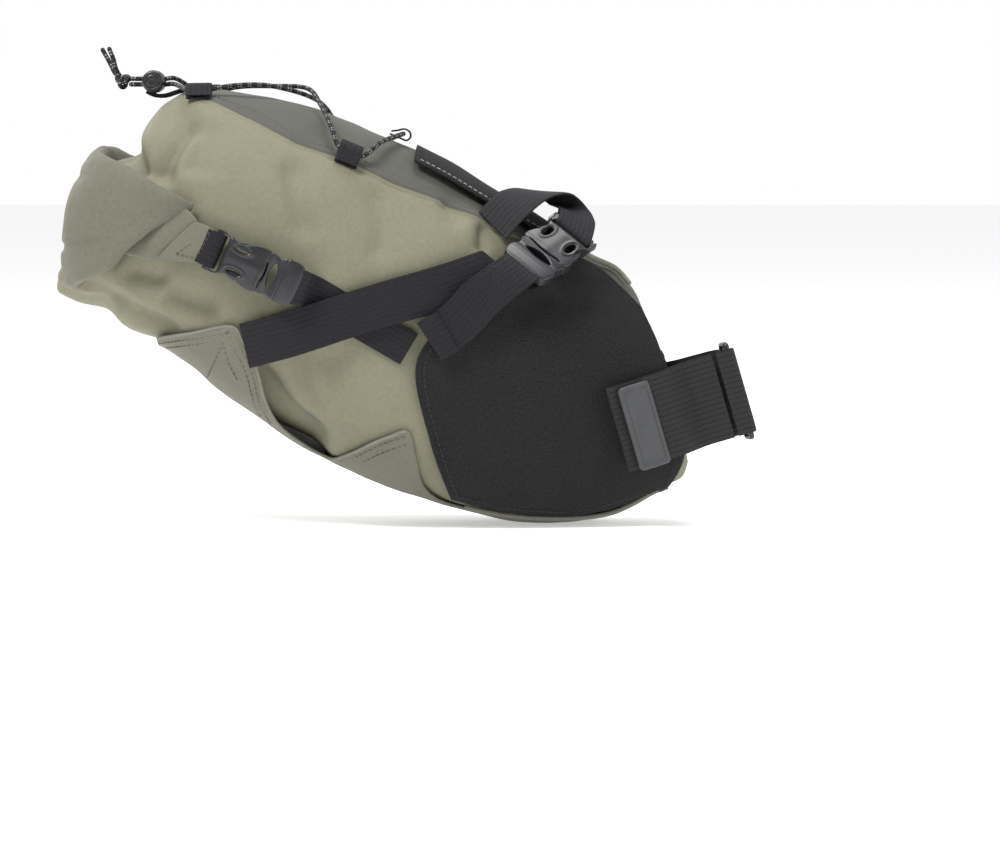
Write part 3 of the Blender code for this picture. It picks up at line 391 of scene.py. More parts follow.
# the darker grey given last is painted shade for the bag's top, above its seam
OLIVE = coated_nylon("olive_nylon", rgb(166, 164, 138), rgb(148, 146, 122), painted_top_shade=rgb(93, 93, 91))
ROLL_OLIVE = coated_nylon("roll_nylon", rgb(141, 139, 122), rgb(122, 120, 104))
BASE_OLIVE = coated_nylon("base_nylon", rgb(145, 143, 127), rgb(128, 126, 110))
PIPING = coated_nylon("piping_nylon", rgb(160, 159, 146), rgb(140, 139, 126), pitch=0.0006)
LINER = coated_nylon("liner_nylon", rgb(150, 152, 150), rgb(132, 134, 132), pitch=0.0005, relief=0.00003)
BLACK = ballistic("black_ballistic")
STRAP = ribbed_webbing("strap_webbing", (33, 31, 37))
POST_WEBBING = ribbed_webbing("post_webbing", (50, 50, 50))
PLASTIC = moulded_plastic("buckle_acetal", rgb(32, 32, 37), rgb(66, 66, 74))
SHEET = moulded_plastic("stiffener_sheet", rgb(36, 36, 38), rgb(60, 60, 62), 0.5)
CORD = braided_cord("braided_cord")
DARK_THREAD = thread("dark_thread", rgb(84, 81, 66))
PALE_THREAD = thread("pale_thread", rgb(176, 176, 170))
BLACK_THREAD = thread("black_thread", rgb(34, 34, 36))
LABEL = rubber("label_rubber", rgb(80, 81, 84), rgb(100, 101, 104))
PAD = rubber("pad_rubber", rgb(34, 34, 35), rgb(56, 56, 57))
WIRE = wire("spring_wire")


# ---------------------------------------------------------------- meshes

def add(name, verts, faces, material, uvs=None, smooth=True):
    """A mesh object; uvs has one pair for each vertex."""
    mesh = bpy.data.meshes.new(name)
    mesh.from_pydata([tuple(v) for v in np.asarray(verts, float)], [], [tuple(map(int, f)) for f in faces])
    mesh.update()
    layer = mesh.uv_layers.new(name=UV)
    if uvs is not None:
        corners = np.zeros(len(mesh.loops), np.int32)
        mesh.loops.foreach_get("vertex_index", corners)
        layer.data.foreach_set("uv", np.asarray(uvs, np.float32)[corners].ravel())
    if smooth:
        mesh.shade_smooth()
    mesh.materials.append(material)
    item = bpy.data.objects.new(name, mesh)
    bpy.context.scene.collection.objects.link(item)
    return item


def grid_faces(rows, columns, closed=False):
    i, j = np.meshgrid(np.arange(rows - 1), np.arange(columns if closed else columns - 1), indexing="ij")
    k = (j + 1) % columns
    corners = (i * columns + j, (i + 1) * columns + j, (i + 1) * columns + k, i * columns + k)
    return np.stack(corners, -1).reshape(-1, 4)


def lengths(points):
    """Running length along each row of points."""
    steps = np.linalg.norm(np.diff(points, axis=0), axis=-1)
    return np.concatenate((np.zeros((1,) + steps.shape[1:]), np.cumsum(steps, axis=0)))


def faced(item, outward):
    """Turns the faces over when the first ones don't look along the given normals."""
    mesh = item.data
    face = mesh.polygons[len(mesh.polygons) // 2]
    if face.normal.dot(Vector(outward[face.vertices[0]])) < 0:
        mesh.flip_normals()
    return item


def sheet(name, points, outward, material, thickness=0.001):
    """A cloth sheet from a grid of inner face points; it has real thickness and a rim."""
    rows, columns = points.shape[:2]
    along = lengths(points).mean(1)
    across = lengths(points.transpose(1, 0, 2)).mean(1)
    uv = np.stack(np.meshgrid(along, across, indexing="ij"), -1).reshape(-1, 2)
    item = add(name, points.reshape(-1, 3), grid_faces(rows, columns), material, uv)
    faced(item, outward.reshape(-1, 3))
    wall = item.modifiers.new("thickness", "SOLIDIFY")
    wall.thickness, wall.offset, wall.use_even_offset = thickness, 1.0, False
    return item


def resample(points, spacing):
    """Points on the smooth curve through the given ones, evenly spaced."""
    points = np.asarray(points, float)
    dense = spline(points, np.linspace(0, len(points) - 1, (len(points) - 1) * 24 + 1))
    run = lengths(dense)
    count = max(2, int(round(run[-1] / spacing)) + 1)
    wanted = np.linspace(0, run[-1], count)
    return np.stack([np.interp(wanted, run, dense[:, k]) for k in range(dense.shape[1])], -1)


def tube(name, points, radius, material, segments=12, spacing=0.0012, closed=False):
    """A round cord through the points, with capped ends and U along it."""
    line = resample(points, spacing)
    count = len(line)
    tangent = unit(np.gradient(line, axis=0))
    normal = np.cross(tangent[0], (0.3, 0.2, 1.0))
    normals = []
    for t in tangent:
        normal = normal - t * normal.dot(t)
        normal = normal / np.linalg.norm(normal)
        normals.append(normal)
    normals = np.array(normals)
    side = np.cross(tangent, normals)
    angles = 2 * pi * np.arange(segments) / segments
    radii = np.full(count, radius)
    if not closed:
        radii[[0, -1]] = radius * 0.55
        line[0] += tangent[0] * radius * 0.1
    ring = line[:, None] + radii[:, None, None] * (
        normals[:, None] * np.cos(angles)[:, None] + side[:, None] * np.sin(angles)[:, None])
    uv = np.stack(np.meshgrid(lengths(line), angles * radius, indexing="ij"), -1)
    faces = [tuple(f) for f in grid_faces(count, segments, closed=True)]
    faces += [tuple(range(segments)), tuple(range(count * segments - 1, (count - 1) * segments - 1, -1))]
    item = add(name, ring.reshape(-1, 3), faces, material, uv.reshape(-1, 2))
    item.data.flip_normals() if is_inside_out(item) else None
    return item


def is_inside_out(item):
    bm = bmesh.new()
    bm.from_mesh(item.data)
    volume = bm.calc_volume(signed=True)
    bm.free()
    return volume < 0


def band(name, rows, material, thickness=WEBBING, columns=9, spacing=0.0025):
    """Webbing whose middle surface passes through rows of three points across it."""
    rows = np.asarray(rows, float)
    middle = (rows[:, 0] + rows[:, -1]) / 2
    run = lengths(middle)
    count = max(3, int(run[-1] / spacing) + 1)
    place = np.interp(np.linspace(0, run[-1], count), run, np.arange(len(rows)))
    fine = spline(rows.reshape(len(rows), -1), place).reshape(count, rows.shape[1], 3)
    shares = np.linspace(0, rows.shape[1] - 1, columns)
    fine = spline(fine.transpose(1, 0, 2).reshape(rows.shape[1], -1), shares)
    fine = fine.reshape(columns, count, 3).transpose(1, 0, 2)
    along = np.gradient(fine, axis=0)
    across = fine[:, -1:] - fine[:, :1]
    half = unit(np.cross(along, across)) * thickness / 2
    edge = 0.72                      # the selvedges are thinner than the middle
    shape = np.ones(columns)
    shape[[0, -1]] = edge
    half = half * shape[None, :, None]
    run = lengths(fine[:, columns // 2])
    width = lengths(fine[0])
    top, bottom = fine + half, fine - half
    ring = np.concatenate((top, bottom[:, ::-1]), 1)
    uv = np.stack(np.meshgrid(run, np.concatenate((width, width[::-1])), indexing="ij"), -1)
    around = ring.shape[1]
    faces = [tuple(f) for f in grid_faces(count, around, closed=True)]
    faces += [tuple(range(around)), tuple(range(count * around - 1, (count - 1) * around - 1, -1))]
    item = add(name, ring.reshape(-1, 3), faces, material, uv.reshape(-1, 2))
    if is_inside_out(item):
        item.data.flip_normals()
    item.data.set_sharp_from_angle(angle=radians(50))
    return item


def stitches(name, lines, material, length=0.0024, gap=0.0011, radius=0.0003):
    """Rows of single stitches as small capsules; lines hold (points, normals, lift)."""
    verts, faces = [], []
    profile = ((-0.5, 0.35, -0.5), (-0.36, 0.95, 0.15), (0.0, 1.0, 0.5), (0.36, 0.95, 0.15),
               (0.5, 0.35, -0.5))
    segments = 6
    for points, normals, lift in lines:
        run = lengths(points)
        starts = np.arange(length / 2, run[-1] - length / 2, length + gap)
        for s in starts:
            c = np.array([np.interp(s, run, points[:, k]) for k in range(3)])
            d = np.array([np.interp(s + length / 2, run, points[:, k]) for k in range(3)]) - c
            o = np.array([np.interp(s, run, normals[:, k]) for k in range(3)])
            d, o = d / np.linalg.norm(d), o / np.linalg.norm(o)
            b = np.cross(d, o)
            first = len(verts)
            for along, size, up in profile:
                for k in range(segments):
                    a = 2 * pi * k / segments
                    verts.append(c + d * along * length
                                 + o * (lift + up * radius * 0.7 + radius * size * sin(a))
                                 + b * radius * size * cos(a))
            for f in grid_faces(len(profile), segments, closed=True):
                faces.append(tuple(first + f[::-1]))
            faces.append(tuple(first + k for k in range(segments)))
            faces.append(tuple(first + len(profile) * segments - 1 - k for k in range(segments)))
    item = add(name, verts, faces, material, np.zeros((len(verts), 2)))
    if is_inside_out(item):
        item.data.flip_normals()
    return item


def dress(item, slot, *replaced, body="root", bend=None):
    """Put a piece on its body; with bend given, its transform is only baked and it goes on no body. bend
    holds the far body and the span's two ends, which are not used.
    """
    if bend:
        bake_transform(item)
    else:
        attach(item, body)
    if replaced:
        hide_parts(*replaced)
    return item


# ---------------------------------------------------------------- folds of the cloth

def to_line(x, z, line):
    """Signed distance to a line in side view, and place along it from 0 to 1."""
    line = np.asarray(line, float)
    run = lengths(line)
    best, sign, place = np.full(x.shape, 9.0), np.ones(x.shape), np.zeros(x.shape)
    for (ax, az), (bx, bz), start in zip(line, line[1:], run):
        dx, dz = bx - ax, bz - az
        size = dx * dx + dz * dz
        raw = ((x - ax) * dx + (z - az) * dz) / size
        t = np.clip(raw, 0, 1)
        distance = np.hypot(x - ax - t * dx, z - az - t * dz)
        nearer = distance < best
        best = np.where(nearer, distance, best)
        sign = np.where(nearer, np.sign(dx * (z - az) - dz * (x - ax)), sign)
        place = np.where(nearer, (start + t * size ** 0.5) / run[-1], place)
    return best * sign, place


def smoothstep(t):
    t = np.clip(t, 0, 1)
    return t * t * (3 - 2 * t)


def fold(x, z, line, depth, wide, narrow, fade=0.25):
    """Valley along a line: wide on its left side, narrow on its right; it fades at both ends."""
    line = resample(line, 0.006)
    distance, place = to_line(x, z, line)
    width = np.where(distance > 0, wide, narrow)
    ends = smoothstep(place / fade) * smoothstep((1 - place) / fade)
    return -depth * np.exp(-(distance / width) ** 2) * ends


TOP_SEAM = (
    (-0.2960, 0.1765), (-0.2860, 0.1742), (-0.2705, 0.1690), (-0.2532, 0.1621), (-0.2314, 0.1495),
    (-0.2055, 0.1397), (-0.1739, 0.1259), (-0.1480, 0.1167), (-0.1290, 0.1075), (-0.1181, 0.1006),
    (-0.0900, 0.0900), (-0.0500, 0.0650),
)
FOLDS = (                      # line in side view, depth, width above and below it
    (((-0.3314, 0.1570), (-0.3274, 0.1466), (-0.3228, 0.1345), (-0.3200, 0.1280)), 0.0050, 0.0045, 0.0110),
    (((-0.2830, 0.1690), (-0.2946, 0.1581), (-0.3015, 0.1466), (-0.3056, 0.1351), (-0.3064, 0.1210)),
     0.0085, 0.0060, 0.0150),
    (((-0.2800, 0.1650), (-0.2850, 0.1500), (-0.2890, 0.1380), (-0.2905, 0.1280)), 0.0030, 0.0110, 0.0060),
    (((-0.2360, 0.1450), (-0.2337, 0.1253), (-0.2297, 0.1081), (-0.2240, 0.0900)), 0.0038, 0.0090, 0.0045),
    (((-0.1888, 0.1290), (-0.1865, 0.1167), (-0.1819, 0.1035), (-0.1854, 0.0880), (-0.1870, 0.0780)),
     0.0026, 0.0080, 0.0060),
    (((-0.1262, 0.1060), (-0.1266, 0.0960), (-0.1275, 0.0860)), 0.0040, 0.0040, 0.0030),
    (((-0.1500, 0.1190), (-0.1440, 0.1120), (-0.1400, 0.1000)), 0.0020, 0.0060, 0.0050),
    (((-0.2334, 0.0420), (-0.2300, 0.0300), (-0.2250, 0.0120), (-0.2130, -0.0080)), 0.0030, 0.0050, 0.0050),
    (((-0.2150, 0.0380), (-0.2110, 0.0200), (-0.2050, 0.0050), (-0.2010, -0.0100)), 0.0022, 0.0080, 0.0060),
    (((-0.2590, 0.0300), (-0.2500, 0.0110), (-0.2400, -0.0060), (-0.2240, -0.0200), (-0.2100, -0.0270)),
     0.0085, 0.0100, 0.0060),
    (((-0.3080, 0.0640), (-0.2950, 0.0585), (-0.2850, 0.0560), (-0.2720, 0.0520)), 0.0055, 0.0100, 0.0075),
    (((-0.3550, 0.0660), (-0.3350, 0.0610), (-0.3150, 0.0500), (-0.2960, 0.0450)), 0.0030, 0.0050, 0.0050),
    (((-0.3300, 0.0530), (-0.3100, 0.0450), (-0.2950, 0.0400)), 0.0026, 0.0040, 0.0040),
    (((-0.3320, 0.0790), (-0.3150, 0.0740), (-0.2980, 0.0720)), 0.0030, 0.0080, 0.0060),
)


def relief(points, side_sign):
    """Inward and outward shift of the shell's cloth, from its folds, seam and small wrinkles."""
    x, z = points[..., 0], points[..., 2]
    strength = np.where(side_sign < 0, 1.0, 0.8)
    shift = np.zeros(x.shape)
    drift = np.where(side_sign < 0, 0.0, 0.004)
    for line, depth, above, below in FOLDS:
        shift += fold(x + drift, z, line, depth, above, below)
    shift *= 1.3 * strength
    seam, place = to_line(x, z, TOP_SEAM)
    on = smoothstep(place / 0.06) * smoothstep((1 - place) / 0.1)
    shift += on * (0.0011 * np.exp(-((seam - 0.0016) / 0.0016) ** 2)
                   - 0.0012 * np.exp(-((seam + 0.0012) / 0.0009) ** 2))
    shift -= on * 0.0022 * np.exp(-((seam - 0.012) / 0.008) ** 2)
    flat = points.reshape(-1, 3)
    small = np.array([
        noise.noise(Vector((p[0] * 26, p[1] * 18, p[2] * 30))) * 0.0022
        + noise.noise(Vector((p[0] * 70 + 5, p[1] * 60, p[2] * 64))) * 0.0006
        for p in flat
    ]).reshape(x.shape)
    shift += small - 0.0006
    return np.minimum(shift, 0.0007)


def shell_points():
    """Grid of the bag's outer face from nose to mouth, its normals, and each ring's own angle."""
    table = np.vstack((STATIONS, MOUTH))
    stations = np.concatenate((np.linspace(0, 1, 9)[:-1] * 2.0, np.linspace(2.0, len(table) - 1, 150)))
    angles = 2 * pi * (np.arange(264) + 0.5) / 264
    grid_s, grid_a = np.meshgrid(stations, angles, indexing="ij")
    points, outward = skin(grid_s, grid_a, 0.0, table)
    return stations, grid_a, points, outward


def build_shell():
    stations, angle, points, outward = shell_points()
    side_sign = np.where(np.sin(angle) > 0, -1, 1)
    shift = relief(points, side_sign)
    seam, _ = to_line(points[..., 0], points[..., 2], TOP_SEAM)
    # gathered cloth where the mouth goes into the roll
    late = smoothstep((stations[:, None] - 10.2) / 2.0)
    pleats = np.sin(angle * 11 + 1.3 * np.sin(angle * 3)) * np.abs(np.cos(angle)) ** 0.5
    shift = shift + late * 0.0022 * (pleats - 0.7)
    nose = smoothstep(1 - stations[:, None] / 0.5)
    shift = shift * (1 - nose)
    moved = points + outward * shift[..., None]
    rows, columns = moved.shape[:2]
    run = lengths(moved).mean(1)
    girth = lengths(moved[rows // 2])
    uv = np.stack(np.meshgrid(run, girth, indexing="ij"), -1).reshape(-1, 2)
    verts = list(moved.reshape(-1, 3))
    faces = [tuple(f) for f in grid_faces(rows, columns, closed=True)]
    uvs = list(uv)
    signed = list(seam.ravel())
    for ring, shares in ((0, (0.9, 0.7, 0.4, 0.15)), (rows - 1, (0.85, 0.55, 0.25))):
        edge, middle = moved[ring], moved[ring].mean(0)
        last = np.arange(columns) + ring * columns
        for share in shares:
            first = len(verts)
            verts += list(middle + (edge - middle) * share)
            uvs += [(run[ring] + 0.03 * (1 - share), g) for g in girth]
            signed += [-0.01] * columns
            new = np.arange(columns) + first
            for j in range(columns):
                k = (j + 1) % columns
                faces.append((last[j], last[k], new[k], new[j]) if ring == 0
                             else (last[k], last[j], new[j], new[k]))
            last = new
        faces.append(tuple(last) if ring == 0 else tuple(last[::-1]))
    item = add("bag_shell", verts, faces, OLIVE, uvs)
    # each point's signed distance to the top seam, which puts the painted shade on the bag's top above it
    attribute = item.data.attributes.new("painted_top_shade", "FLOAT", "POINT")
    attribute.data.foreach_set("value", np.asarray(signed, np.float32))
    if is_inside_out(item):
        item.data.flip_normals()
    dress(item, "shell_fabric", "main_shell")
    return item


def build_liner():
    """Dry bag inside the shell, soft and slightly slack."""
    stations, angles = np.linspace(0.6, 10.6, 60), 2 * pi * (np.arange(72) + 0.5) / 72
    s, a = np.meshgrid(stations, angles, indexing="ij")
    points, outward = skin(s, a, -0.0125)
    wrinkle = np.array([noise.noise(Vector(p * 40)) for p in points.reshape(-1, 3)]).reshape(s.shape)
    points = points + outward * (wrinkle * 0.0016)[..., None]
    uv = np.stack(np.meshgrid(lengths(points).mean(1), lengths(points[30]), indexing="ij"), -1)
    faces = [tuple(f) for f in grid_faces(60, 72, closed=True)]
    faces += [tuple(range(72)), tuple(range(60 * 72 - 1, 59 * 72 - 1, -1))]
    item = add("dry_bag", points.reshape(-1, 3), faces, LINER, uv.reshape(-1, 2))
    if is_inside_out(item):
        item.data.flip_normals()
    dress(item, "liner_fabric", "inner_dry_bag")


build_shell()
build_liner()


# ---------------------------------------------------------------- sewn-on panels

def lower_line(angle, first, last, count=5):
    points = bare_skin(np.linspace(first, last, count), angle)
    return tuple((p[0], p[2]) for p in points)


WING_EDGE = (
    (-0.3110, 0.0400), (-0.2900, 0.0430), (-0.2675, 0.0465), (-0.2610, 0.0380), (-0.2538, 0.0240),
    (-0.2475, 0.0006), (-0.2375, -0.0144), (-0.2150, -0.0290), (-0.2029, -0.0270),
    (-0.1860, -0.0190), (-0.1690, -0.0130), (-0.1640, -0.0300), (-0.1590, -0.0460),
) + lower_line(radians(161.5), 5.5, 1.6, 9)
PANEL_REAR = ((-0.1440, -0.0530), (-0.1560, -0.0200), (-0.1640, 0.0247), (-0.1420, 0.0540), (-0.1164, 0.0805))
PANEL_FRONT = ((-0.0215, -0.0500), (-0.0120, -0.0300), (-0.0180, 0.0020), (-0.0275, 0.0330),
               (-0.0370, 0.0540))
PANEL_TOP = ((-0.1164, 0.0805), (-0.0940, 0.0845), (-0.0730, 0.0820), (-0.0560, 0.0725), (-0.0370, 0.0540))
PANEL_BOTTOM = (PANEL_REAR[0],) + lower_line(radians(155.5), 4.7, 2.6, 3) + (PANEL_FRONT[0],)


def ripple(points, scale, depth):
    flat = np.array([noise.noise(Vector(p * scale)) for p in points.reshape(-1, 3)])
    return flat.reshape(points.shape[:-1]) * depth


def build_base():
    """Bottom panel whose two wings come up the sides and take the lift straps."""
    a, b = np.meshgrid(np.linspace(0, 1, 190), np.linspace(0, 1, 90), indexing="ij")
    edge = spline(WING_EDGE, a[:, 0] * (len(WING_EDGE) - 1))
    station, angle = edge_angle(edge[:, 0], edge[:, 1])
    around = angle[:, None] + (2 * pi - 2 * angle[:, None]) * b
    points, outward = skin(np.broadcast_to(station[:, None], b.shape), around, PANEL_LIFT)
    rim = np.minimum(b, 1 - b) * 2
    loose = ripple(points, 34.0, 0.0011) + ripple(points, 80.0, 0.0004)
    shift = np.maximum(loose, -0.0009) * smoothstep(rim / 0.08)
    item = sheet("base_panel", points + outward * shift[..., None], outward, BASE_OLIVE, 0.0011)
    dress(item, "base_fabric", "bottom_panel")
    return item


def edge_run(line, inset, side, lift, spacing=0.002):
    """Points and normals along a line in side view, moved sideways by inset (positive to its right)."""
    line = resample(line, spacing)
    step = unit(np.gradient(line, axis=0))
    moved = line + np.stack((step[:, 1], -step[:, 0]), -1) * inset
    return side_point(moved[:, 0], moved[:, 1], side, lift)


WING_SEWN = (
    (WING_EDGE[0:3], 0.0030), (WING_EDGE[0:3], 0.0062), (WING_EDGE[2:8], 0.0030), (WING_EDGE[2:8], 0.0062),
    (WING_EDGE[7:11], 0.0024), (WING_EDGE[7:11], 0.0070),
)
WING_CROSS = ((-0.2690, 0.0440), (-0.2740, 0.0330), (-0.2800, 0.0210), (-0.2838, 0.0140))


def build_base_stitching():
    lines = []
    for _, side in SIDES:
        for line, inset in WING_SEWN:
            points, outward = edge_run(line, inset, side, PANEL_LIFT + 0.0012)
            lines.append((points, outward, 0.0001))
        points, outward = edge_run(WING_CROSS, 0.0, side, PANEL_LIFT + 0.0012)
        lines.append((points, outward, 0.0001))
        points, outward = edge_run(((-0.2655, 0.0440), (-0.2620, 0.0300), (-0.2570, 0.0190)), 0.0075, side,
                                   PANEL_LIFT + 0.0012)
        lines.append((points, outward, 0.0001))
    kept = []
    for points, outward, lift in lines:
        seen = np.abs(points[:, 1]) > 0.040
        if seen.sum() > 3:
            kept.append((points[seen], outward[seen], lift))
    dress(stitches("base_stitching", kept, DARK_THREAD), "base_fabric")


def build_base_bindings():
    """Light binding folded over each wing's edge."""
    for name, side in SIDES:
        line = resample(WING_EDGE[:11], 0.002)
        points, _ = side_point(line[:, 0], line[:, 1], side, PANEL_LIFT + 0.0005)
        item = tube("base_binding_" + name, points, 0.0009, PIPING, segments=10, spacing=0.0016)
        dress(item, "base_fabric")


def coons(a, b):
    ends = len(PANEL_TOP) - 1
    low, high = spline(PANEL_BOTTOM, a * ends), spline(PANEL_TOP, a * ends)
    rear, front = spline(PANEL_REAR, b * ends), spline(PANEL_FRONT, b * ends)
    a, b = a[..., None], b[..., None]
    c00, c10, c01, c11 = (
        np.array(p) for p in (PANEL_BOTTOM[0], PANEL_BOTTOM[-1], PANEL_TOP[0], PANEL_TOP[-1]))
    corners = c00 * (1 - a) * (1 - b) + c10 * a * (1 - b) + c01 * (1 - a) * b + c11 * a * b
    return low * (1 - b) + high * b + rear * (1 - a) + front * a - corners


PANEL_CREASES = (              # line in side view, depth, width above and below
    (((-0.1150, 0.0470), (-0.0934, 0.0600), (-0.0720, 0.0560), (-0.0560, 0.0500)), 0.0022, 0.0060, 0.0100),
    (((-0.1500, -0.0250), (-0.1300, -0.0100), (-0.1150, 0.0120)), 0.0009, 0.0150, 0.0100),
    (((-0.0560, -0.0450), (-0.0640, -0.0200), (-0.0660, 0.0080)), 0.0009, 0.0120, 0.0100),
)


def build_side_panels():
    for name, side in SIDES:
        a, b = np.meshgrid(np.linspace(0, 1, 96), np.linspace(0, 1, 110), indexing="ij")
        flat = coons(a, b)
        points, outward = side_point(flat[..., 0], flat[..., 1], side, PANEL_LIFT + 0.0001)
        rim = np.minimum(np.minimum(a, 1 - a), np.minimum(b, 1 - b))
        shift = ripple(points, 30.0, 0.0009) + ripple(points, 75.0, 0.0004)
        for line, depth, above, below in PANEL_CREASES:
            shift = shift + fold(flat[..., 0], flat[..., 1], line, depth, above, below)
        puff = smoothstep(rim / 0.06)
        hem = -0.0004 * np.exp(-((rim - 0.035) / 0.006) ** 2)
        shift = np.clip(shift * puff + hem + 0.0006 * puff, -0.0012, 0.0012)
        item = sheet("side_cover_" + name, points + outward * shift[..., None], outward, BLACK, 0.0011)
        dress(item, "panel_fabric", "side_panel_" + name)
        lines = []
        for line, inset in ((PANEL_REAR, 0.0045), (PANEL_BOTTOM, -0.0035)):
            p, o = edge_run(line, inset, side, PANEL_LIFT + 0.0018)
            lines.append((p, o, 0.0))
        dress(stitches("side_cover_stitching_" + name, lines, BLACK_THREAD), "panel_fabric")


PIPING_TOP = (
    (-0.0850, 0.0880), (-0.0740, 0.0862), (-0.0640, 0.0805), (-0.0510, 0.0745), (-0.0430, 0.0660),
)
PIPING_LIFT = PANEL_LIFT + 0.0014


def build_pipings():
    for name, side in SIDES:
        line = resample(PIPING_TOP, 0.003)
        points, _ = side_point(line[:, 0], line[:, 1], side, PIPING_LIFT)
        dress(tube("edge_piping_top_" + name, points, 0.0014, PIPING), "piping", "piping_top_" + name)
        stations = resample([[s] for s in (5.3, 4.8, 4.3, 3.8, 3.3, 2.8, 2.3, 1.9)], 0.1)[:, 0]
        points, _ = skin(stations, -side * radians(158.5), PIPING_LIFT)
        dress(tube("edge_piping_bottom_" + name, points, 0.0014, PIPING), "piping", "piping_bottom_" + name)


def build_top_cover():
    a, b = np.meshgrid(np.linspace(3.7, 6.2, 60), np.linspace(-1, 1, 50), indexing="ij")
    points, outward = skin(a, radians(26) * b, PANEL_LIFT)
    shift = ripple(points, 38.0, 0.0008)
    item = sheet("top_cover", points + outward * shift[..., None], outward, BLACK, 0.0011)
    dress(item, "panel_fabric", "top_front_panel")
    lines = []
    for name, side in SIDES:
        stations = np.linspace(3.75, 6.15, 60)
        p, o = skin(stations, -side * radians(24.3), PANEL_LIFT + 0.0014)
        lines.append((p, o, 0.0001))
        p, o = skin(np.linspace(3.7, 6.2, 60), -side * radians(26.2), PANEL_LIFT + 0.0007)
        dress(tube("top_cover_binding_" + name, p, 0.0011, BLACK, segments=10), "panel_fabric")
    dress(stitches("top_cover_stitching", lines, PALE_THREAD), "panel_fabric")


def build_seam_stitching():
    """Topstitching beside the long seam between the bag's top and its sides."""
    lines = []
    for _, side in SIDES:
        line = np.array(TOP_SEAM[1:9])
        points, outward = edge_run(line, -0.0034, side, 0.0)
        lines.append((points, outward, 0.0003))
    dress(stitches("seam_stitching", lines, DARK_THREAD, radius=0.00024), "shell_fabric")


# ---------------------------------------------------------------- the roll closure

# Half of the roll, from its side end to the middle of the back:
# x, y, bottom and top z, thickness
ROLL_PATH = (
    (-0.2900, 0.0842, 0.1118, 0.1150, 0.0040), (-0.2960, 0.0866, 0.1085, 0.1180, 0.0060),
    (-0.3050, 0.0880, 0.1035, 0.1226, 0.0090), (-0.3130, 0.0880, 0.0972, 0.1268, 0.0112),
    (-0.3210, 0.0865, 0.0895, 0.1310, 0.0135), (-0.3290, 0.0825, 0.0785, 0.1352, 0.0160),
    (-0.3370, 0.0770, 0.0745, 0.1388, 0.0185), (-0.3460, 0.0680, 0.0705, 0.1430, 0.0205),
    (-0.3515, 0.0540, 0.0672, 0.1458, 0.0215), (-0.3530, 0.0300, 0.0660, 0.1470, 0.0220),
    (-0.3532, 0.0000, 0.0655, 0.1472, 0.0220),
)
ROLL_TILT = 0.200              # the roll's top leans forward by this much of its height
ROLL_MIDDLE = 0.1050


def build_roll():
    """Rolled and flattened mouth of the bag; its ends fold forward along both sides."""
    half = [(x, -y, low, high, thick) for x, y, low, high, thick in ROLL_PATH]
    controls = np.array(half + [(x, y, low, high, thick) for x, y, low, high, thick in ROLL_PATH[-2::-1]])
    path = spline(controls, np.linspace(0, len(controls) - 1, 260))
    run = lengths(path[:, :2])
    path = np.stack([np.interp(np.linspace(0, run[-1], 260), run, path[:, k]) for k in range(5)], -1)
    flat = path[:, :2]
    step = unit(np.gradient(flat, axis=0))
    out = np.stack((-step[:, 1], step[:, 0]), -1)          # away from the bag
    if out[130, 0] > 0:
        out = -out
    angles = 2 * pi * (np.arange(96) + 0.5) / 96
    high, low, thick = path[:, 3:4], path[:, 2:3], path[:, 4:5]
    up = rounded(np.cos(angles), 2.5)[None]
    side = rounded(np.sin(angles), 2.1)[None]
    z = (high + low) / 2 + up * (high - low) / 2
    depth = side * thick / 2
    share = np.linspace(-1, 1, 260)[:, None]
    outer = smoothstep((np.sin(angles)[None] + 0.1) / 0.5)
    # layers of the roll, a long soft crease and short puckers
    tall, across = high - low, np.abs(share)
    layer = -0.0026 * np.exp(-((z - (low + 0.30 * tall)) / 0.0022) ** 2) * smoothstep((0.80 - across) / 0.2)
    layer += -0.0016 * np.exp(-((z - (low + 0.80 * tall)) / 0.0030) ** 2) * smoothstep((0.62 - across) / 0.3)
    soft = -0.0022 * np.exp(-((z - (0.1035 + 0.02 * (across - 0.7))) / 0.0060) ** 2)
    soft = soft * smoothstep((across - 0.45) / 0.2)
    depth = depth + (layer + soft) * outer
    x = flat[:, :1] + out[:, :1] * depth + (z - ROLL_MIDDLE) * ROLL_TILT * 1.0
    y = flat[:, 1:] + out[:, 1:] * depth
    points = np.stack((x, y, z), -1)
    bumps = ripple(points, 32.0, 0.0022) + ripple(points, 85.0, 0.0007)
    outward = unit(np.stack((out[:, :1] * side + 0 * z, out[:, 1:] * side + 0 * z,
                             np.broadcast_to(up, z.shape)), -1))
    points = points + outward * (bumps * np.clip(thick / 0.012, 0.2, 1))[..., None]
    uv = np.stack(np.meshgrid(np.linspace(0, run[-1], 260), lengths(points[130]), indexing="ij"), -1)
    faces = [tuple(f) for f in grid_faces(260, 96, closed=True)]
    faces += [tuple(range(96)), tuple(range(260 * 96 - 1, 259 * 96 - 1, -1))]
    item = add("roll_closure", points.reshape(-1, 3), faces, ROLL_OLIVE, uv.reshape(-1, 2))
    if is_inside_out(item):
        item.data.flip_normals()
    dress(item, "base_fabric", "roll_top")


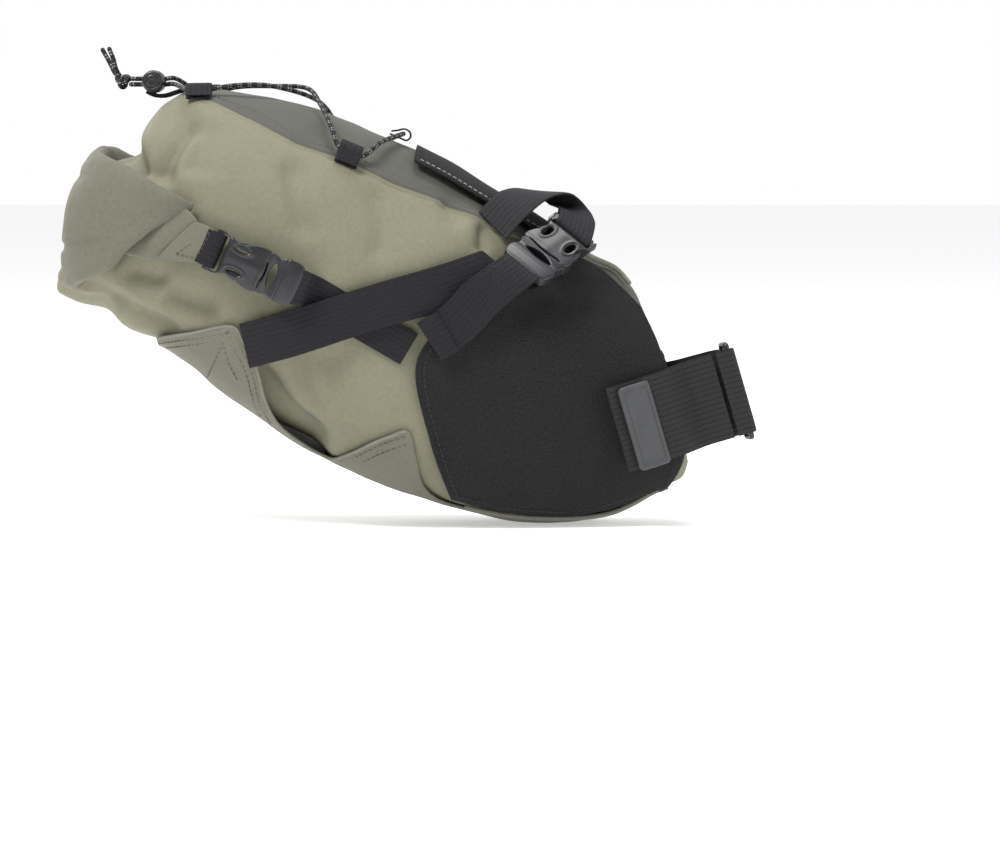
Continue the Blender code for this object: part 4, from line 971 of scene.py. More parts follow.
def quad_sheet(name, corners, material, bulge=0.0008, thickness=0.0016, count=40, turn=0.0):
    """A sewn flap between four corners given in order; it swells a little between its edges."""
    a, b = np.meshgrid(np.linspace(0, 1, count), np.linspace(0, 1, count), indexing="ij")
    c = np.array(corners, float)
    a3, b3 = a[..., None], b[..., None]
    points = c[0] * (1 - a3) * (1 - b3) + c[1] * a3 * (1 - b3) + c[2] * a3 * b3 + c[3] * (1 - a3) * b3
    normal = unit(np.cross(c[1] - c[0], c[3] - c[0]))
    outward = np.broadcast_to(normal * np.sign(normal[1] * c[0][1]), points.shape)
    swell = np.sin(pi * a) ** 0.6 * np.sin(pi * b) ** 0.6 * bulge + turn * (b - 0.5) ** 2
    points = points + outward * (swell + ripple(points, 70.0, 0.0004))[..., None]
    return sheet(name, points, outward, material, thickness)


def build_roll_ends():
    """The folded inner layer of the roll's end, and the sheath that holds its buckle's webbing."""
    for name, side in SIDES:
        s = np.array((1, -side, 1))
        inner = ((-0.3300, -0.0790, 0.0880), (-0.3060, -0.0850, 0.0842), (-0.2850, -0.0866, 0.1045),
                 (-0.2945, -0.0850, 0.1150))
        dress(quad_sheet("roll_fold_" + name, np.array(inner) * s, ROLL_OLIVE, 0.0022, 0.0022), "base_fabric")
        outer = ((-0.3073, -0.0868, 0.0850), (-0.2838, -0.0888, 0.0826), (-0.2764, -0.0888, 0.1006),
                 (-0.2862, -0.0878, 0.1050))
        sheath = quad_sheet("roll_sheath_" + name, np.array(outer) * s, OLIVE, 0.0008, 0.0026)
        dress(sheath, "base_fabric")
        c = np.array(outer) * s
        lines = []
        for start, end in (((0.30, 0.16), (0.86, 0.10)), ((0.86, 0.10), (0.90, 0.88)),
                           ((0.90, 0.88), (0.72, 0.90)), ((0.30, 0.16), (0.52, 0.55))):
            t = np.linspace(0, 1, 30)[:, None]
            a, b = start[0] + (end[0] - start[0]) * t, start[1] + (end[1] - start[1]) * t
            p = c[0] * (1 - a) * (1 - b) + c[1] * a * (1 - b) + c[2] * a * b + c[3] * (1 - a) * b
            o = np.broadcast_to((0.0, float(side), 0.0), p.shape)
            lines.append((p, o, 0.0034))
        dress(stitches("roll_sheath_stitching_" + name, lines, DARK_THREAD, length=0.0018, gap=0.0010,
                       radius=0.00022), "base_fabric")


# ---------------------------------------------------------------- buckles

def local_frame(origin, along, outward):
    x = Vector(along).normalized()
    y = Vector(outward).cross(x).normalized()
    z = x.cross(y)
    return Matrix.Translation(origin) @ Matrix((x, y, z)).transposed().to_4x4()


BUCKLES = {                    # width, length, thickness, webbing, bar, end and outward on the right
    "roll": (0.0250, 0.0530, 0.0085, 0.020, (-0.2777, -0.0885, 0.0900), (-0.2292, -0.0885, 0.0686),
             (0, -1, 0)),
    "rail": (0.0320, 0.0478, 0.0095, 0.025, (-0.0730, -0.0345, 0.0985), (-0.1044, -0.0635, 0.0773),
             (0.192, -0.705, 0.681)),
}
SEAM_SHARE = 0.60


def buckle_frame(kind, side):
    _, _, _, _, bar, end, outward = BUCKLES[kind]
    mirror = Vector((1, -side, 1))
    return local_frame(Vector(bar) * mirror, (Vector(end) - Vector(bar)) * mirror, Vector(outward) * mirror)


def solid_plate(outline, holes, half):
    """Vertices and faces of a plate with smooth outlines, in millimetres, as Blender fills them."""
    curve = bpy.data.curves.new("plate", "CURVE")
    curve.dimensions, curve.fill_mode, curve.extrude = "2D", "BOTH", half
    for loop in (outline, *holes):
        points = np.asarray(loop, float)
        points = np.vstack((points, points[:1]))
        path = curve.splines.new("POLY")
        path.points.add(len(points) - 2)
        for p, q in zip(path.points, points[:-1]):
            p.co = (q[0], q[1], 0, 1)
        path.use_cyclic_u = True
    item = bpy.data.objects.new("plate", curve)
    bpy.context.scene.collection.objects.link(item)
    bpy.context.view_layer.update()
    mesh = bpy.data.meshes.new_from_object(item.evaluated_get(bpy.context.evaluated_depsgraph_get()))
    bpy.data.objects.remove(item)
    bpy.data.curves.remove(curve)
    return mesh


def ring_of(points, count=80):
    """Smooth closed outline through points; a long side doesn't make its short neighbours overshoot."""
    p = np.asarray(points, float)
    step = np.roll(p, -1, 0) - p
    size = np.linalg.norm(step, axis=1, keepdims=True)
    pull = step / size ** 2
    tangent = unit(pull + np.roll(pull, 1, 0))
    edges = np.cumsum(np.vstack(([[0.0]], size)))
    at = np.linspace(0, edges[-1], count, endpoint=False)
    i = np.clip(np.searchsorted(edges, at, side="right") - 1, 0, len(p) - 1)
    j = (i + 1) % len(p)
    t = ((at - edges[i]) / size[i, 0])[:, None]
    h0, h1 = 2 * t ** 3 - 3 * t ** 2 + 1, t ** 3 - 2 * t ** 2 + t
    return h0 * p[i] + h1 * size[i] * tangent[i] + (1 - h0) * p[j] + (t ** 3 - t ** 2) * size[i] * tangent[j]


def mirrored(points):
    """Closed outline from its upper half, which runs from the low x end to the high x end."""
    upper = list(points)
    return upper + [(x, -y) for x, y in reversed(upper)]


def moulding(name, plates, shape, voxel, frame_matrix, material):
    """One rounded moulding: plates (outline, holes, half, z) fused, smoothed and then shaped."""
    joined = bmesh.new()
    for outline, holes, half, z in plates:
        mesh = solid_plate(outline, holes, half)
        mesh.transform(Matrix.Translation((0, 0, z)))
        joined.from_mesh(mesh)
        bpy.data.meshes.remove(mesh)
    bmesh.ops.remove_doubles(joined, verts=joined.verts, dist=0.001)
    bmesh.ops.recalc_face_normals(joined, faces=joined.faces)
    mesh = bpy.data.meshes.new(name)
    joined.to_mesh(mesh)
    joined.free()
    item = bpy.data.objects.new(name, mesh)
    bpy.context.scene.collection.objects.link(item)
    remesh = item.modifiers.new("remesh", "REMESH")
    remesh.mode, remesh.voxel_size = "VOXEL", voxel
    rounding = item.modifiers.new("rounding", "SMOOTH")
    rounding.factor, rounding.iterations = 0.5, 7
    bpy.context.view_layer.update()
    fine = bpy.data.meshes.new_from_object(item.evaluated_get(bpy.context.evaluated_depsgraph_get()))
    bpy.data.objects.remove(item)
    co = np.zeros(len(fine.vertices) * 3, np.float32)
    fine.vertices.foreach_get("co", co)
    co = shape(co.reshape(-1, 3).astype(float)) * 0.001
    fine.vertices.foreach_set("co", co.astype(np.float32).ravel())
    fine.transform(frame_matrix)
    fine.shade_smooth()
    fine.materials.clear()
    fine.materials.append(material)
    fine.update()
    item = bpy.data.objects.new(name, fine)
    bpy.context.scene.collection.objects.link(item)
    if is_inside_out(item):
        item.data.flip_normals()
    return item


def ellipse(x, y, a, b, power=2.0, count=28):
    t = 2 * pi * np.arange(count) / count
    return np.stack((x + a * rounded(np.cos(t), power), y + b * rounded(np.sin(t), power)), -1)[::-1]


def build_female(kind, name, side):
    width, length, thick, webbing, *_ = BUCKLES[kind]
    h, t, w = width * 500, thick * 500, webbing * 500
    s = SEAM_SHARE * length * 1000
    upper = ((-0.2, 0.82 * h), (-1.5, 0.90 * h), (-0.6, 0.955 * h), (2.6, 0.965 * h), (6.8, 0.93 * h),
             (10.2, 0.80 * h),
             (13.2, 0.745 * h), (16.8, 0.79 * h), (20.6, 0.93 * h), (24.0, h), (s - 1.2, h),
             (s - 0.2, 0.97 * h),
             (s - 0.6, 0.6 * h), (s + 0.2, 0.25 * h))
    slot = [(3.4, -w - 0.9), (3.4, w + 0.9), (7.4, w + 0.7), (7.4, -w - 0.7)]
    windows = [ellipse(16.2, c * 0.54 * h, 4.4, 0.135 * h, 2.2) for c in (-1, 1)]
    outline = ring_of(mirrored(upper), 120)
    plates = [(outline, [slot] + windows, t * 0.98, 0.0)]

    def shape(p):
        x, y, z = p.T
        bar = 1 - 0.60 * smoothstep((9.5 - x) / 5.0)
        crown = 0.70 + 0.30 * np.sqrt(np.clip(1 - (y / (h * 1.06)) ** 2, 0, 1))
        ridge = 1 + 0.05 * np.exp(-(y / (0.22 * h)) ** 2) * smoothstep((x - 8) / 4)
        window = np.hypot((x - 16.2) / 6.2, (np.abs(y) - 0.54 * h) / (0.23 * h))
        rim = 1 + 0.07 * np.exp(-((window - 1) / 0.16) ** 2)
        lip = 1 + 0.05 * smoothstep((x - (s - 3.0)) / 0.8)
        return np.stack((x, y, z * bar * crown * ridge * rim * lip), -1)

    item = moulding(f"{kind}_clasp_{name}", plates, shape, 0.42, buckle_frame(kind, side), PLASTIC)
    dress(item, "buckle_plastic", f"{kind}_female_{name}")


def build_male(kind, name, side):
    width, length, thick, *_ = BUCKLES[kind]
    h, t, total = width * 500, thick * 500, length * 1000
    s = SEAM_SHARE * total
    upper = ((s + 0.9, 0.25 * h), (s + 0.1, 0.6 * h), (s + 0.5, 0.93 * h), (s + 1.6, 0.97 * h),
             (s + 4.4, 0.90 * h),
             (s + 7.0, 0.92 * h), (s + 9.4, 0.99 * h), (total - 4.6, 0.99 * h), (total - 1.2, 0.90 * h),
             (total - 0.1, 0.72 * h),
             (total, 0.3 * h))
    eye = ellipse(s + 5.0, 0, 2.4, 0.60 * h, 1.5)
    tongue = [(s - 15.5, -2.2), (s - 16.5, 0), (s - 15.5, 2.2), (s + 2.2, 2.7), (s + 2.2, -2.7)]
    plates = [(ring_of(mirrored(upper), 110), [eye], t * 0.95, 0.0), (ring_of(tongue, 40), [], 1.3, 0.0)]

    def shape(p):
        x, y, z = p.T
        body = smoothstep((x - s + 0.4) / 0.8)
        crown = 0.70 + 0.30 * np.sqrt(np.clip(1 - (y / (h * 1.06)) ** 2, 0, 1))
        dip = 1 - 0.26 * np.exp(-((x - s - 5.0) / 3.0) ** 2)
        groove = 1 - 0.10 * np.exp(-((x - s - 10.4) / 0.55) ** 2)
        bulk = 1 + 0.12 * smoothstep((x - s - 8.5) / 2.0) * smoothstep((total + 1.5 - x) / 4.0)
        k = np.where(z > 0, crown * dip * groove * bulk, crown * np.where(x > s + 8, 0.42, 0.9))
        return np.stack((x, y, np.where(body > 0.5, z * k, z)), -1)

    item = moulding(f"{kind}_plug_{name}", plates, shape, 0.42, buckle_frame(kind, side), PLASTIC)
    male = f"{kind}_male_{name}"
    dress(item, "buckle_plastic", male, body=male)


def build_latch(kind, name, side, arm, direction):
    width, length, thick, *_ = BUCKLES[kind]
    wall = 1.6
    h, s, t = width * 500, SEAM_SHARE * length * 1000, thick * 1000
    root, offset = s - 1.0, h - wall - 3.2
    reach, pad = 0.58 * s, h - wall - 0.4
    d = direction
    outline = [(root - 0.2, d * (offset - 0.9)), (root - 0.2, d * (offset + 0.9)),
               (root - 6.0, d * (offset + 0.95)),
               (root - reach * 0.42, d * (offset + 1.3)), (root - reach * 0.50, d * pad),
               (root - reach * 0.85, d * (pad - 0.1)),
               (root - reach + 0.1, d * (offset + 1.6)), (root - reach, d * (offset - 0.6)),
               (root - reach + 1.5, d * (offset - 0.9)),
               (root - 6.0, d * (offset - 0.85))]
    outline = ring_of(outline if d > 0 else outline[::-1], 70)
    half = (t - 2 * wall - 1.8) / 2
    body = f"{kind}_arm_{arm}_{name}"
    item = moulding(f"{kind}_latch_{arm}_{name}", [(outline, [], half, 0.0)], lambda p: p, 0.40,
                    buckle_frame(kind, side), PLASTIC)
    dress(item, "buckle_plastic", body, body=body)


def build_buckles():
    for kind in BUCKLES:
        for name, side in SIDES:
            build_female(kind, name, side)
            build_male(kind, name, side)
            build_latch(kind, name, side, "upper", 1)
            build_latch(kind, name, side, "lower", -1)


# ---------------------------------------------------------------- straps

OVER_LIFT, UNDER_LIFT = 0.0037, 0.0014
LIFT_STRAP = (
    (-0.2597, 0.0362, OVER_LIFT), (-0.2310, 0.0436, OVER_LIFT + 0.0020),
    (-0.2015, 0.0529, OVER_LIFT + 0.0015),
    (-0.1780, 0.0596, OVER_LIFT + 0.0010), (-0.1555, 0.0656, OVER_LIFT + 0.0010),
    (-0.1380, 0.0705, 0.0065), (-0.1270, 0.0735, 0.0095),
)
LIFT_TAIL = ((-0.1300, 0.0610, 0.0130), (-0.1420, 0.0480, 0.0085), (-0.1563, 0.0382, 0.0072))
ROLL_STRAP = (
    (-0.2215, 0.0646, UNDER_LIFT), (-0.2000, 0.0519, UNDER_LIFT), (-0.1810, 0.0407, UNDER_LIFT),
    (-0.1680, 0.0330, UNDER_LIFT),
)
RAIL_STRAP = (
    ((-0.1205, -0.0450, 0.1020), (0.62, -0.45, -0.60)),
    ((-0.1110, -0.0365, 0.1125), (0.66, -0.52, -0.50)),
    ((-0.0980, -0.0240, 0.1200), (0.76, -0.60, -0.20)),
    ((-0.0860, -0.0145, 0.1195), (0.84, -0.54, 0.00)),
    ((-0.0775, -0.0140, 0.1130), (0.90, -0.42, -0.10)),
    ((-0.0735, -0.0235, 0.1090), (0.88, -0.36, -0.30)),
    ((-0.0722, -0.0295, 0.1065), (0.80, -0.36, -0.46)),
)


def side_rows(path, width, side, spacing=0.012):
    points = spline(path, np.linspace(0, len(path) - 1, (len(path) - 1) * 8 + 1))
    kept = [points[0]]
    for p in points[1:-1]:
        if np.hypot(*(p - kept[-1])[:2]) > spacing:
            kept.append(p)
    kept.append(points[-1])
    rows = []
    for i, p in enumerate(kept):
        along = kept[min(i + 1, len(kept) - 1)] - kept[max(i - 1, 0)]
        across = unit(np.array((-along[1], along[0]))) * width / 2
        share = np.array((-1.0, 0.0, 1.0))
        row, _ = side_point(p[0] + share * across[0], p[1] + share * across[1], side, p[2])
        rows.append(list(row))
    return rows


def bar_rows(kind, side, end, clearance=0.0012):
    """Rows of webbing that comes in under an end bar, goes round it and out on top."""
    _, length, _, webbing, *_ = BUCKLES[kind]
    inward, edge = (-1, length) if end else (1, 0.0)
    bar, height = 0.0030, 0.0015 + WEBBING / 2 + clearance
    slot_x = edge + inward * (bar + clearance + WEBBING / 2)
    profile = (
        (edge - inward * 0.004, -height), (edge + inward * bar * 0.6, -height),
        (slot_x, -height * 0.45), (slot_x, height * 0.45),
        (edge + inward * bar * 0.6, height), (edge - inward * 0.004, height),
    )
    matrix = buckle_frame(kind, side)
    return [[np.array(matrix @ Vector((x, share * webbing / 2, z))) for share in (-1, 0, 1)]
            for x, z in profile]


def matched(rows, first):
    ahead, behind = np.array(first[-1]) - first[0], np.array(rows[0][-1]) - rows[0][0]
    return [list(reversed(row)) for row in rows] if ahead.dot(behind) < 0 else rows


def build_straps():
    for name, side in SIDES:
        mirror = np.array((1, -side, 1))
        # the lift strap goes under the rail buckle's end; its tail comes back out from there
        strap = side_rows(LIFT_STRAP, 0.025, side)
        loop = matched(bar_rows("rail", side, True), strap[-1])
        bend = ("rail_male_" + name, strap[0][1], strap[-1][1])
        tail = matched(side_rows(LIFT_TAIL, 0.025, side), loop[-1])
        item = band("lift_webbing_" + name, strap + loop + tail, STRAP, columns=11)
        dress(item, "webbing", "lift_strap_" + name, bend=bend)
        # the tail's folded and sewn end
        hem = matched(side_rows(((-0.1480, 0.0432, 0.0089), (-0.1563, 0.0382, 0.0087),
                                 (-0.1578, 0.0372, 0.0084)), 0.0252, side, 0.004), tail[-1])
        dress(band("lift_hem_" + name, hem, STRAP, 0.0022, columns=11), "webbing", bend=bend)
        strap = list(reversed(side_rows(ROLL_STRAP, 0.020, side)))
        loop = matched(bar_rows("roll", side, True), strap[-1])
        bend = ("roll_male_" + name, strap[0][1], strap[-1][1])
        dress(band("roll_webbing_" + name, strap + loop, STRAP), "webbing", "roll_strap_" + name, bend=bend)
        # the roll buckle's tab, from the sheath round the fixed bar and back
        loop = bar_rows("roll", side, False)
        matrix = buckle_frame("roll", side)
        across = np.array(matrix.to_3x3() @ Vector((0, 0.010, 0)))
        under = np.array((-0.2830, -0.0866, 0.0924)) * mirror
        over = np.array((-0.2830, -0.0908, 0.0924)) * mirror
        first = [under + across * k for k in (-1, 0, 1)]
        rows = [first] + matched(loop, first)
        last = [over + across * k for k in (-1, 0, 1)]
        rows += matched([last], rows[-1])
        dress(band("roll_tab_webbing_" + name, rows, STRAP), "webbing", "roll_tab_" + name)
        rows = []
        for middle, reach in RAIL_STRAP:
            centre, reach = np.array(middle) * mirror, unit(np.array(reach) * mirror) * 0.0125
            rows.append([centre + reach * k for k in (-1, 0, 1)])
        loop = list(reversed(bar_rows("rail", side, False)))
        rows += matched(loop[1:], rows[-1])
        dress(band("rail_webbing_" + name, rows, STRAP, columns=11), "webbing", "rail_strap_" + name)


# ---------------------------------------------------------------- post strap

LEAN = radians(16.2)
POST_UP, POST_AHEAD = np.array((-sin(LEAN), 0, cos(LEAN))), np.array((cos(LEAN), 0, sin(LEAN)))
RING_BAR, RING_FAR_BAR = (0.0225, -0.0182), (0.0200, -0.0080)
FOLD_RADIUS = 0.0031
FLAP_HINGE = (0.0140, RING_BAR[1] - FOLD_RADIUS)
BASE_STRAP = (
    (-0.0500, -0.0486), (-0.0450, -0.0465), (-0.0330, -0.0425), (-0.0240, -0.0380),
    (-0.0160, -0.0325), (-0.0060, -0.0200), (0.0040, -0.0160), (0.0180, -0.0151),
)
FLAP_STRAP = (
    (FLAP_HINGE[0] - 0.0012, FLAP_HINGE[1]), (0.0060, -0.0215), (-0.0040, -0.0232),
    (-0.0160, -0.0365), (-0.0240, -0.0412), (-0.0330, -0.0458), (-0.0420, -0.0490),
    (-0.0515, -0.0520),
)
FAR_STRAP = (
    (-0.0450, 0.0465), (-0.0330, 0.0425), (-0.0240, 0.0380), (-0.0160, 0.0325), (-0.0060, 0.0205),
    (0.0050, 0.0165), (0.0130, 0.0130), (0.0175, 0.0060), (0.0188, -0.0010), (0.0190, -0.0045),
)


def post_point(ahead, y, up):
    return POST_AHEAD * ahead + np.array((0, y, 0)) + POST_UP * up


def post_rows(path, width=0.050):
    return [[post_point(ahead, y, width * k / 2) for k in (-1, 0, 1)] for ahead, y in path]


def build_post_strap():
    ahead, y = RING_BAR
    folded = [(ahead + FOLD_RADIUS * sin(radians(a)), y + FOLD_RADIUS * cos(radians(a)))
              for a in range(0, 181, 30)]
    path = BASE_STRAP + tuple(folded) + ((FLAP_HINGE[0] + 0.0012, FLAP_HINGE[1]),)
    item = band("post_webbing_base", post_rows(path), POST_WEBBING, 0.0014, 15, 0.0020)
    dress(item, "webbing", "post_strap_base")
    item = band("post_webbing_flap", post_rows(FLAP_STRAP), POST_WEBBING, 0.0014, 15, 0.0020)
    dress(item, "webbing", "post_strap_flap", body="post_strap_flap")
    item = band("post_webbing_far", post_rows(FAR_STRAP), POST_WEBBING, 0.0014, 15, 0.0020)
    dress(item, "webbing", "post_strap_far")
    # a line of stitching that holds the label's root
    lines = []
    for place in ((-0.0258, -0.0432),):
        up = np.linspace(-0.023, 0.023, 40)[:, None]
        p = POST_AHEAD * place[0] + np.array((0, place[1], 0)) + POST_UP * up
        o = np.broadcast_to(POST_AHEAD * -0.35 + np.array((0, -0.94, 0)), p.shape)
        lines.append((p, o, 0.0003))
    item = stitches("post_flap_stitching", lines, BLACK_THREAD)
    dress(item, "webbing", body="post_strap_flap")
    build_label()
    build_ring()


def build_label():
    """Blank rubber pull tab with rounded corners and a raised rim."""
    path = np.array(((-0.0278, -0.0452), (-0.0330, -0.0481), (-0.0388, -0.0503), (-0.0445, -0.0524)))
    line = resample(path, 0.0004)
    width, middle = 0.047, -0.0017
    run = lengths(line)
    ups = np.linspace(-1, 1, 90)
    corner = 0.0022
    a = np.minimum(run, run[-1] - run)
    rounding = np.clip(corner ** 2 - (corner - np.minimum(a, corner)) ** 2, 0, None)
    reach = width / 2 - corner + np.sqrt(rounding)
    step = unit(np.gradient(line, axis=0))
    out2 = np.stack((step[:, 1], -step[:, 0]), -1)
    out = POST_AHEAD * out2[:, :1] + np.array((0, 1, 0)) * out2[:, 1:]
    if out[0, 1] > 0:
        out = -out
    base = POST_AHEAD * line[:, :1] + np.array((0, 1, 0)) * line[:, 1:]
    up = ups[None] * reach[:, None]
    edge = np.minimum(np.minimum(a, 1)[:, None], (reach[:, None] - np.abs(up)))
    rim = 0.0004 * (1 - smoothstep((np.minimum(a[:, None], edge) - 0.0010) / 0.0006))
    round_off = -0.0006 * (1 - smoothstep(np.minimum(a[:, None], edge) / 0.0006))
    points = (base[:, None] + POST_UP * (up + middle)[..., None]
              + out[:, None] * (rim + round_off - 0.0002)[..., None])
    outward = np.broadcast_to(out[:, None], points.shape)
    item = sheet("pull_label", points, outward, LABEL, 0.0015)
    dress(item, "label_rubber", "post_strap_label", body="post_strap_flap")


def lathe(name, profile, matrix, material, segments=48):
    """Turned shape about the matrix's Z axis from (radius, height) points."""
    profile = np.array(profile, float)
    angles = 2 * pi * np.arange(segments) / segments
    ring = np.stack((profile[:, :1] * np.cos(angles), profile[:, :1] * np.sin(angles),
                     np.broadcast_to(profile[:, 1:], (len(profile), segments))), -1)
    rotation, origin = np.array(matrix.to_3x3()), np.array(matrix.translation)
    verts = ring.reshape(-1, 3) @ rotation.T + origin
    faces = [tuple(f) for f in grid_faces(len(profile), segments, closed=True)]
    count = len(profile) * segments
    faces += [tuple(range(segments)), tuple(range(count - 1, count - segments - 1, -1))]
    item = add(name, verts, faces, material, np.zeros((len(verts), 2)))
    if is_inside_out(item):
        item.data.flip_normals()
    item.data.set_sharp_from_angle(angle=radians(55))
    return item


def build_ring():
    """Moulded rectangular ring with round bars."""
    near, far = np.array(RING_BAR), np.array(RING_FAR_BAR)
    spread, half = np.linalg.norm(far - near), 0.0278
    middle, across = (near + far) / 2, (far - near) / np.linalg.norm(far - near)
    corner = 0.0016
    loop = []
    for sx, sz, start in ((1, 1, 0), (-1, 1, 90), (-1, -1, 180), (1, -1, 270)):
        for a in range(0, 91, 18):
            t = radians(start + a)
            loop.append((sx * (spread / 2 - corner) + corner * cos(t),
                         sz * (half - corner) + corner * sin(t)))
    points = np.array([post_point(*(middle + across * u), v) for u, v in loop])
    count, segments = len(points), 16
    tangent = unit(np.roll(points, -1, 0) - np.roll(points, 1, 0))
    normal = unit(np.cross(points[1] - points[0], points[8] - points[0]))
    verts = []
    for p, t in zip(points, tangent):
        b = np.cross(t, normal)
        for k in range(segments):
            a = 2 * pi * k / segments
            verts.append(p + normal * 0.0015 * copysign(abs(cos(a)) ** 0.8, cos(a))
                         + b * 0.0015 * copysign(abs(sin(a)) ** 0.8, sin(a)))
    faces = []
    for i in range(count):
        j = (i + 1) % count
        for k in range(segments):
            m = (k + 1) % segments
            faces.append((i * segments + k, j * segments + k, j * segments + m, i * segments + m))
    item = add("post_ring", verts, faces, PLASTIC, np.zeros((len(verts), 2)))
    if is_inside_out(item):
        item.data.flip_normals()
    dress(item, "buckle_plastic", "post_strap_ring")


# ---------------------------------------------------------------- compression cord

LOCK = np.array((-0.3165, 0.0, 0.1845))
KNOT = np.array((-0.3347, 0.0, 0.1850))
TAILS = (
    (unit(np.array((-0.45, -0.40, 0.80))), (-0.3382, -0.0035, 0.1915), (-0.3398, -0.0052, 0.1978),
     (-0.3424, -0.0050, 0.2043)),
    (unit(np.array((-0.70, 0.40, 0.60))), (-0.3398, 0.0030, 0.1900), (-0.3432, 0.0050, 0.1965),
     (-0.3474, 0.0060, 0.2040)),
)
CORD_RADIUS = 0.00135
CORD_LIFT = 0.0042
REAR_LOOP, SIDE_LOOP, FRONT_LOOP, CROSSING = (8.95, 24), (6.95, 40), (6.40, 0), (7.60, 0)
CORD_TO_CROSSING = ((9.13, 24.3), REAR_LOOP, (8.78, 23.6), (8.45, 17), (8.05, 8))
CORD_FROM_CROSSING = ((7.37, 15), (7.20, 31), (7.10, 39.4), SIDE_LOOP, (6.80, 39.8), (6.62, 26))


def on_top(place, side, lift=CORD_LIFT):
    return skin(place[0], -side * radians(place[1]), lift)[0]


def cord_half(side, crossing_lift):
    strand = LOCK[2] + side * 0.0016
    start = [np.array(p) for p in (
        (KNOT[0] + 0.0035, 0, strand), (-0.3230, 0, strand), (-0.3165, 0, strand), (-0.3100, 0, strand),
        (-0.3040, side * 0.0080, strand))]
    near = [on_top(p, side) for p in CORD_TO_CROSSING]
    far = [on_top(p, -side) for p in CORD_FROM_CROSSING]
    return start + near + [on_top(CROSSING, side, crossing_lift)] + far


def build_cord():
    first, second = cord_half(RIGHT, CORD_LIFT), cord_half(LEFT, CORD_LIFT + 0.0038)
    route = first + [on_top(FRONT_LOOP, RIGHT, CORD_LIFT + 0.0003)] + second[::-1]
    item = tube("lacing_cord", route, CORD_RADIUS, CORD, 14, 0.0010)
    dress(item, "cord", "shock_cord")
    t = np.linspace(0, 2 * pi, 90)
    knot = np.stack((np.sin(t) + 2 * np.sin(2 * t), np.cos(t) - 2 * np.cos(2 * t), -1.15 * np.sin(3 * t)), -1)
    knot = knot * np.array((0.00125, 0.00125, 0.00165))
    knot = knot[:, (0, 2, 1)] + KNOT
    dress(tube("end_knot", knot[:-1], CORD_RADIUS, CORD, 12, 0.0010), "cord", "cord_knot")
    for index, (direction, *route) in enumerate(TAILS, start=1):
        start = KNOT + direction * 0.0028
        item = tube(f"cord_end_{index}", [start, *(np.array(p) for p in route)],
                    CORD_RADIUS, CORD, 12, 0.0010)
        dress(item, "cord", f"cord_tail_{index}")


def lock_frame():
    return Matrix.Translation(Vector(LOCK)) @ Matrix.Rotation(-pi / 2, 4, "X")


def build_lock():
    half = 0.0090
    body = [(0.0052, -half), (0.0060, -half), (0.0064, -half + 0.0005), (0.0065, -half + 0.0012),
            (0.0065, -0.0030), (0.0061, -0.0026),
            (0.0061, -0.0018), (0.0065, -0.0014), (0.0065, half - 0.0016), (0.0061, half - 0.0005),
            (0.0052, half), (0.0015, half)]
    dress(lathe("lock_barrel", body, lock_frame(), PLASTIC), "buckle_plastic", "cord_lock_body")
    head = -half - 0.0050
    button = [(0.0012, head + 0.0003), (0.0030, head), (0.0036, head + 0.0002), (0.0039, head + 0.0005),
              (0.0044, head + 0.0002), (0.0056, head + 0.0004),
              (0.0061, head + 0.0010), (0.0062, head + 0.0022), (0.0058, head + 0.0031),
              (0.0049, head + 0.0034), (0.0047, head + 0.0040), (0.0047, 0.0034)]
    dress(lathe("lock_button", button, lock_frame(), PLASTIC), "buckle_plastic", "cord_lock_plunger",
          body="cord_lock_plunger")
    # webbing anchor under the lock, sewn to the bag
    path = ((-0.3205, 0.1788), (-0.3160, 0.1766), (-0.3100, 0.1764), (-0.3030, 0.1786), (-0.2950, 0.1812))
    rows = [[(x, y, z) for y in (-0.0070, 0.0, 0.0070)] for x, z in path]
    dress(band("lock_anchor", rows, STRAP, 0.0024), "webbing")


LOOP_PROFILE = (
    (0.0100, 0.0013), (0.0000, 0.0014), (-0.0045, 0.0016), (-0.0065, 0.0042), (-0.0045, 0.0068),
    (0.0005, 0.0073), (0.0060, 0.0047), (0.0100, 0.0031),
)


def build_loop(name, place, side, node, width=0.012, sideways=False, reach=1.0):
    station, angle = place[0], -side * radians(place[1])
    origin = skin(station, angle)[0]
    outward = skin(station, angle, 0.001)[0] - origin
    along = np.array((0, 1, 0)) if sideways else skin(station - 0.1, angle)[0] - origin
    matrix = local_frame(Vector(origin), Vector(along), Vector(outward))
    flip = 1 if matrix.to_3x3().col[1].z < 0 or sideways else -1
    rows = [[np.array(matrix @ Vector((k * width / 2, flip * across * reach, out))) for k in (-1, 0, 1)]
            for across, out in LOOP_PROFILE]
    dress(band(name, rows, STRAP, 0.0010, columns=7, spacing=0.0012), "webbing", node)


def build_loops():
    for name, side in SIDES:
        build_loop("rear_guide_" + name, REAR_LOOP, side, "cord_loop_rear_" + name, 0.0145, reach=0.62)
        build_loop("side_guide_" + name, SIDE_LOOP, side, "cord_loop_side_" + name, 0.0135, reach=0.85)
    build_loop("front_guide", FRONT_LOOP, RIGHT, "cord_loop_front", sideways=True, reach=0.7)


# ---------------------------------------------------------------- nose

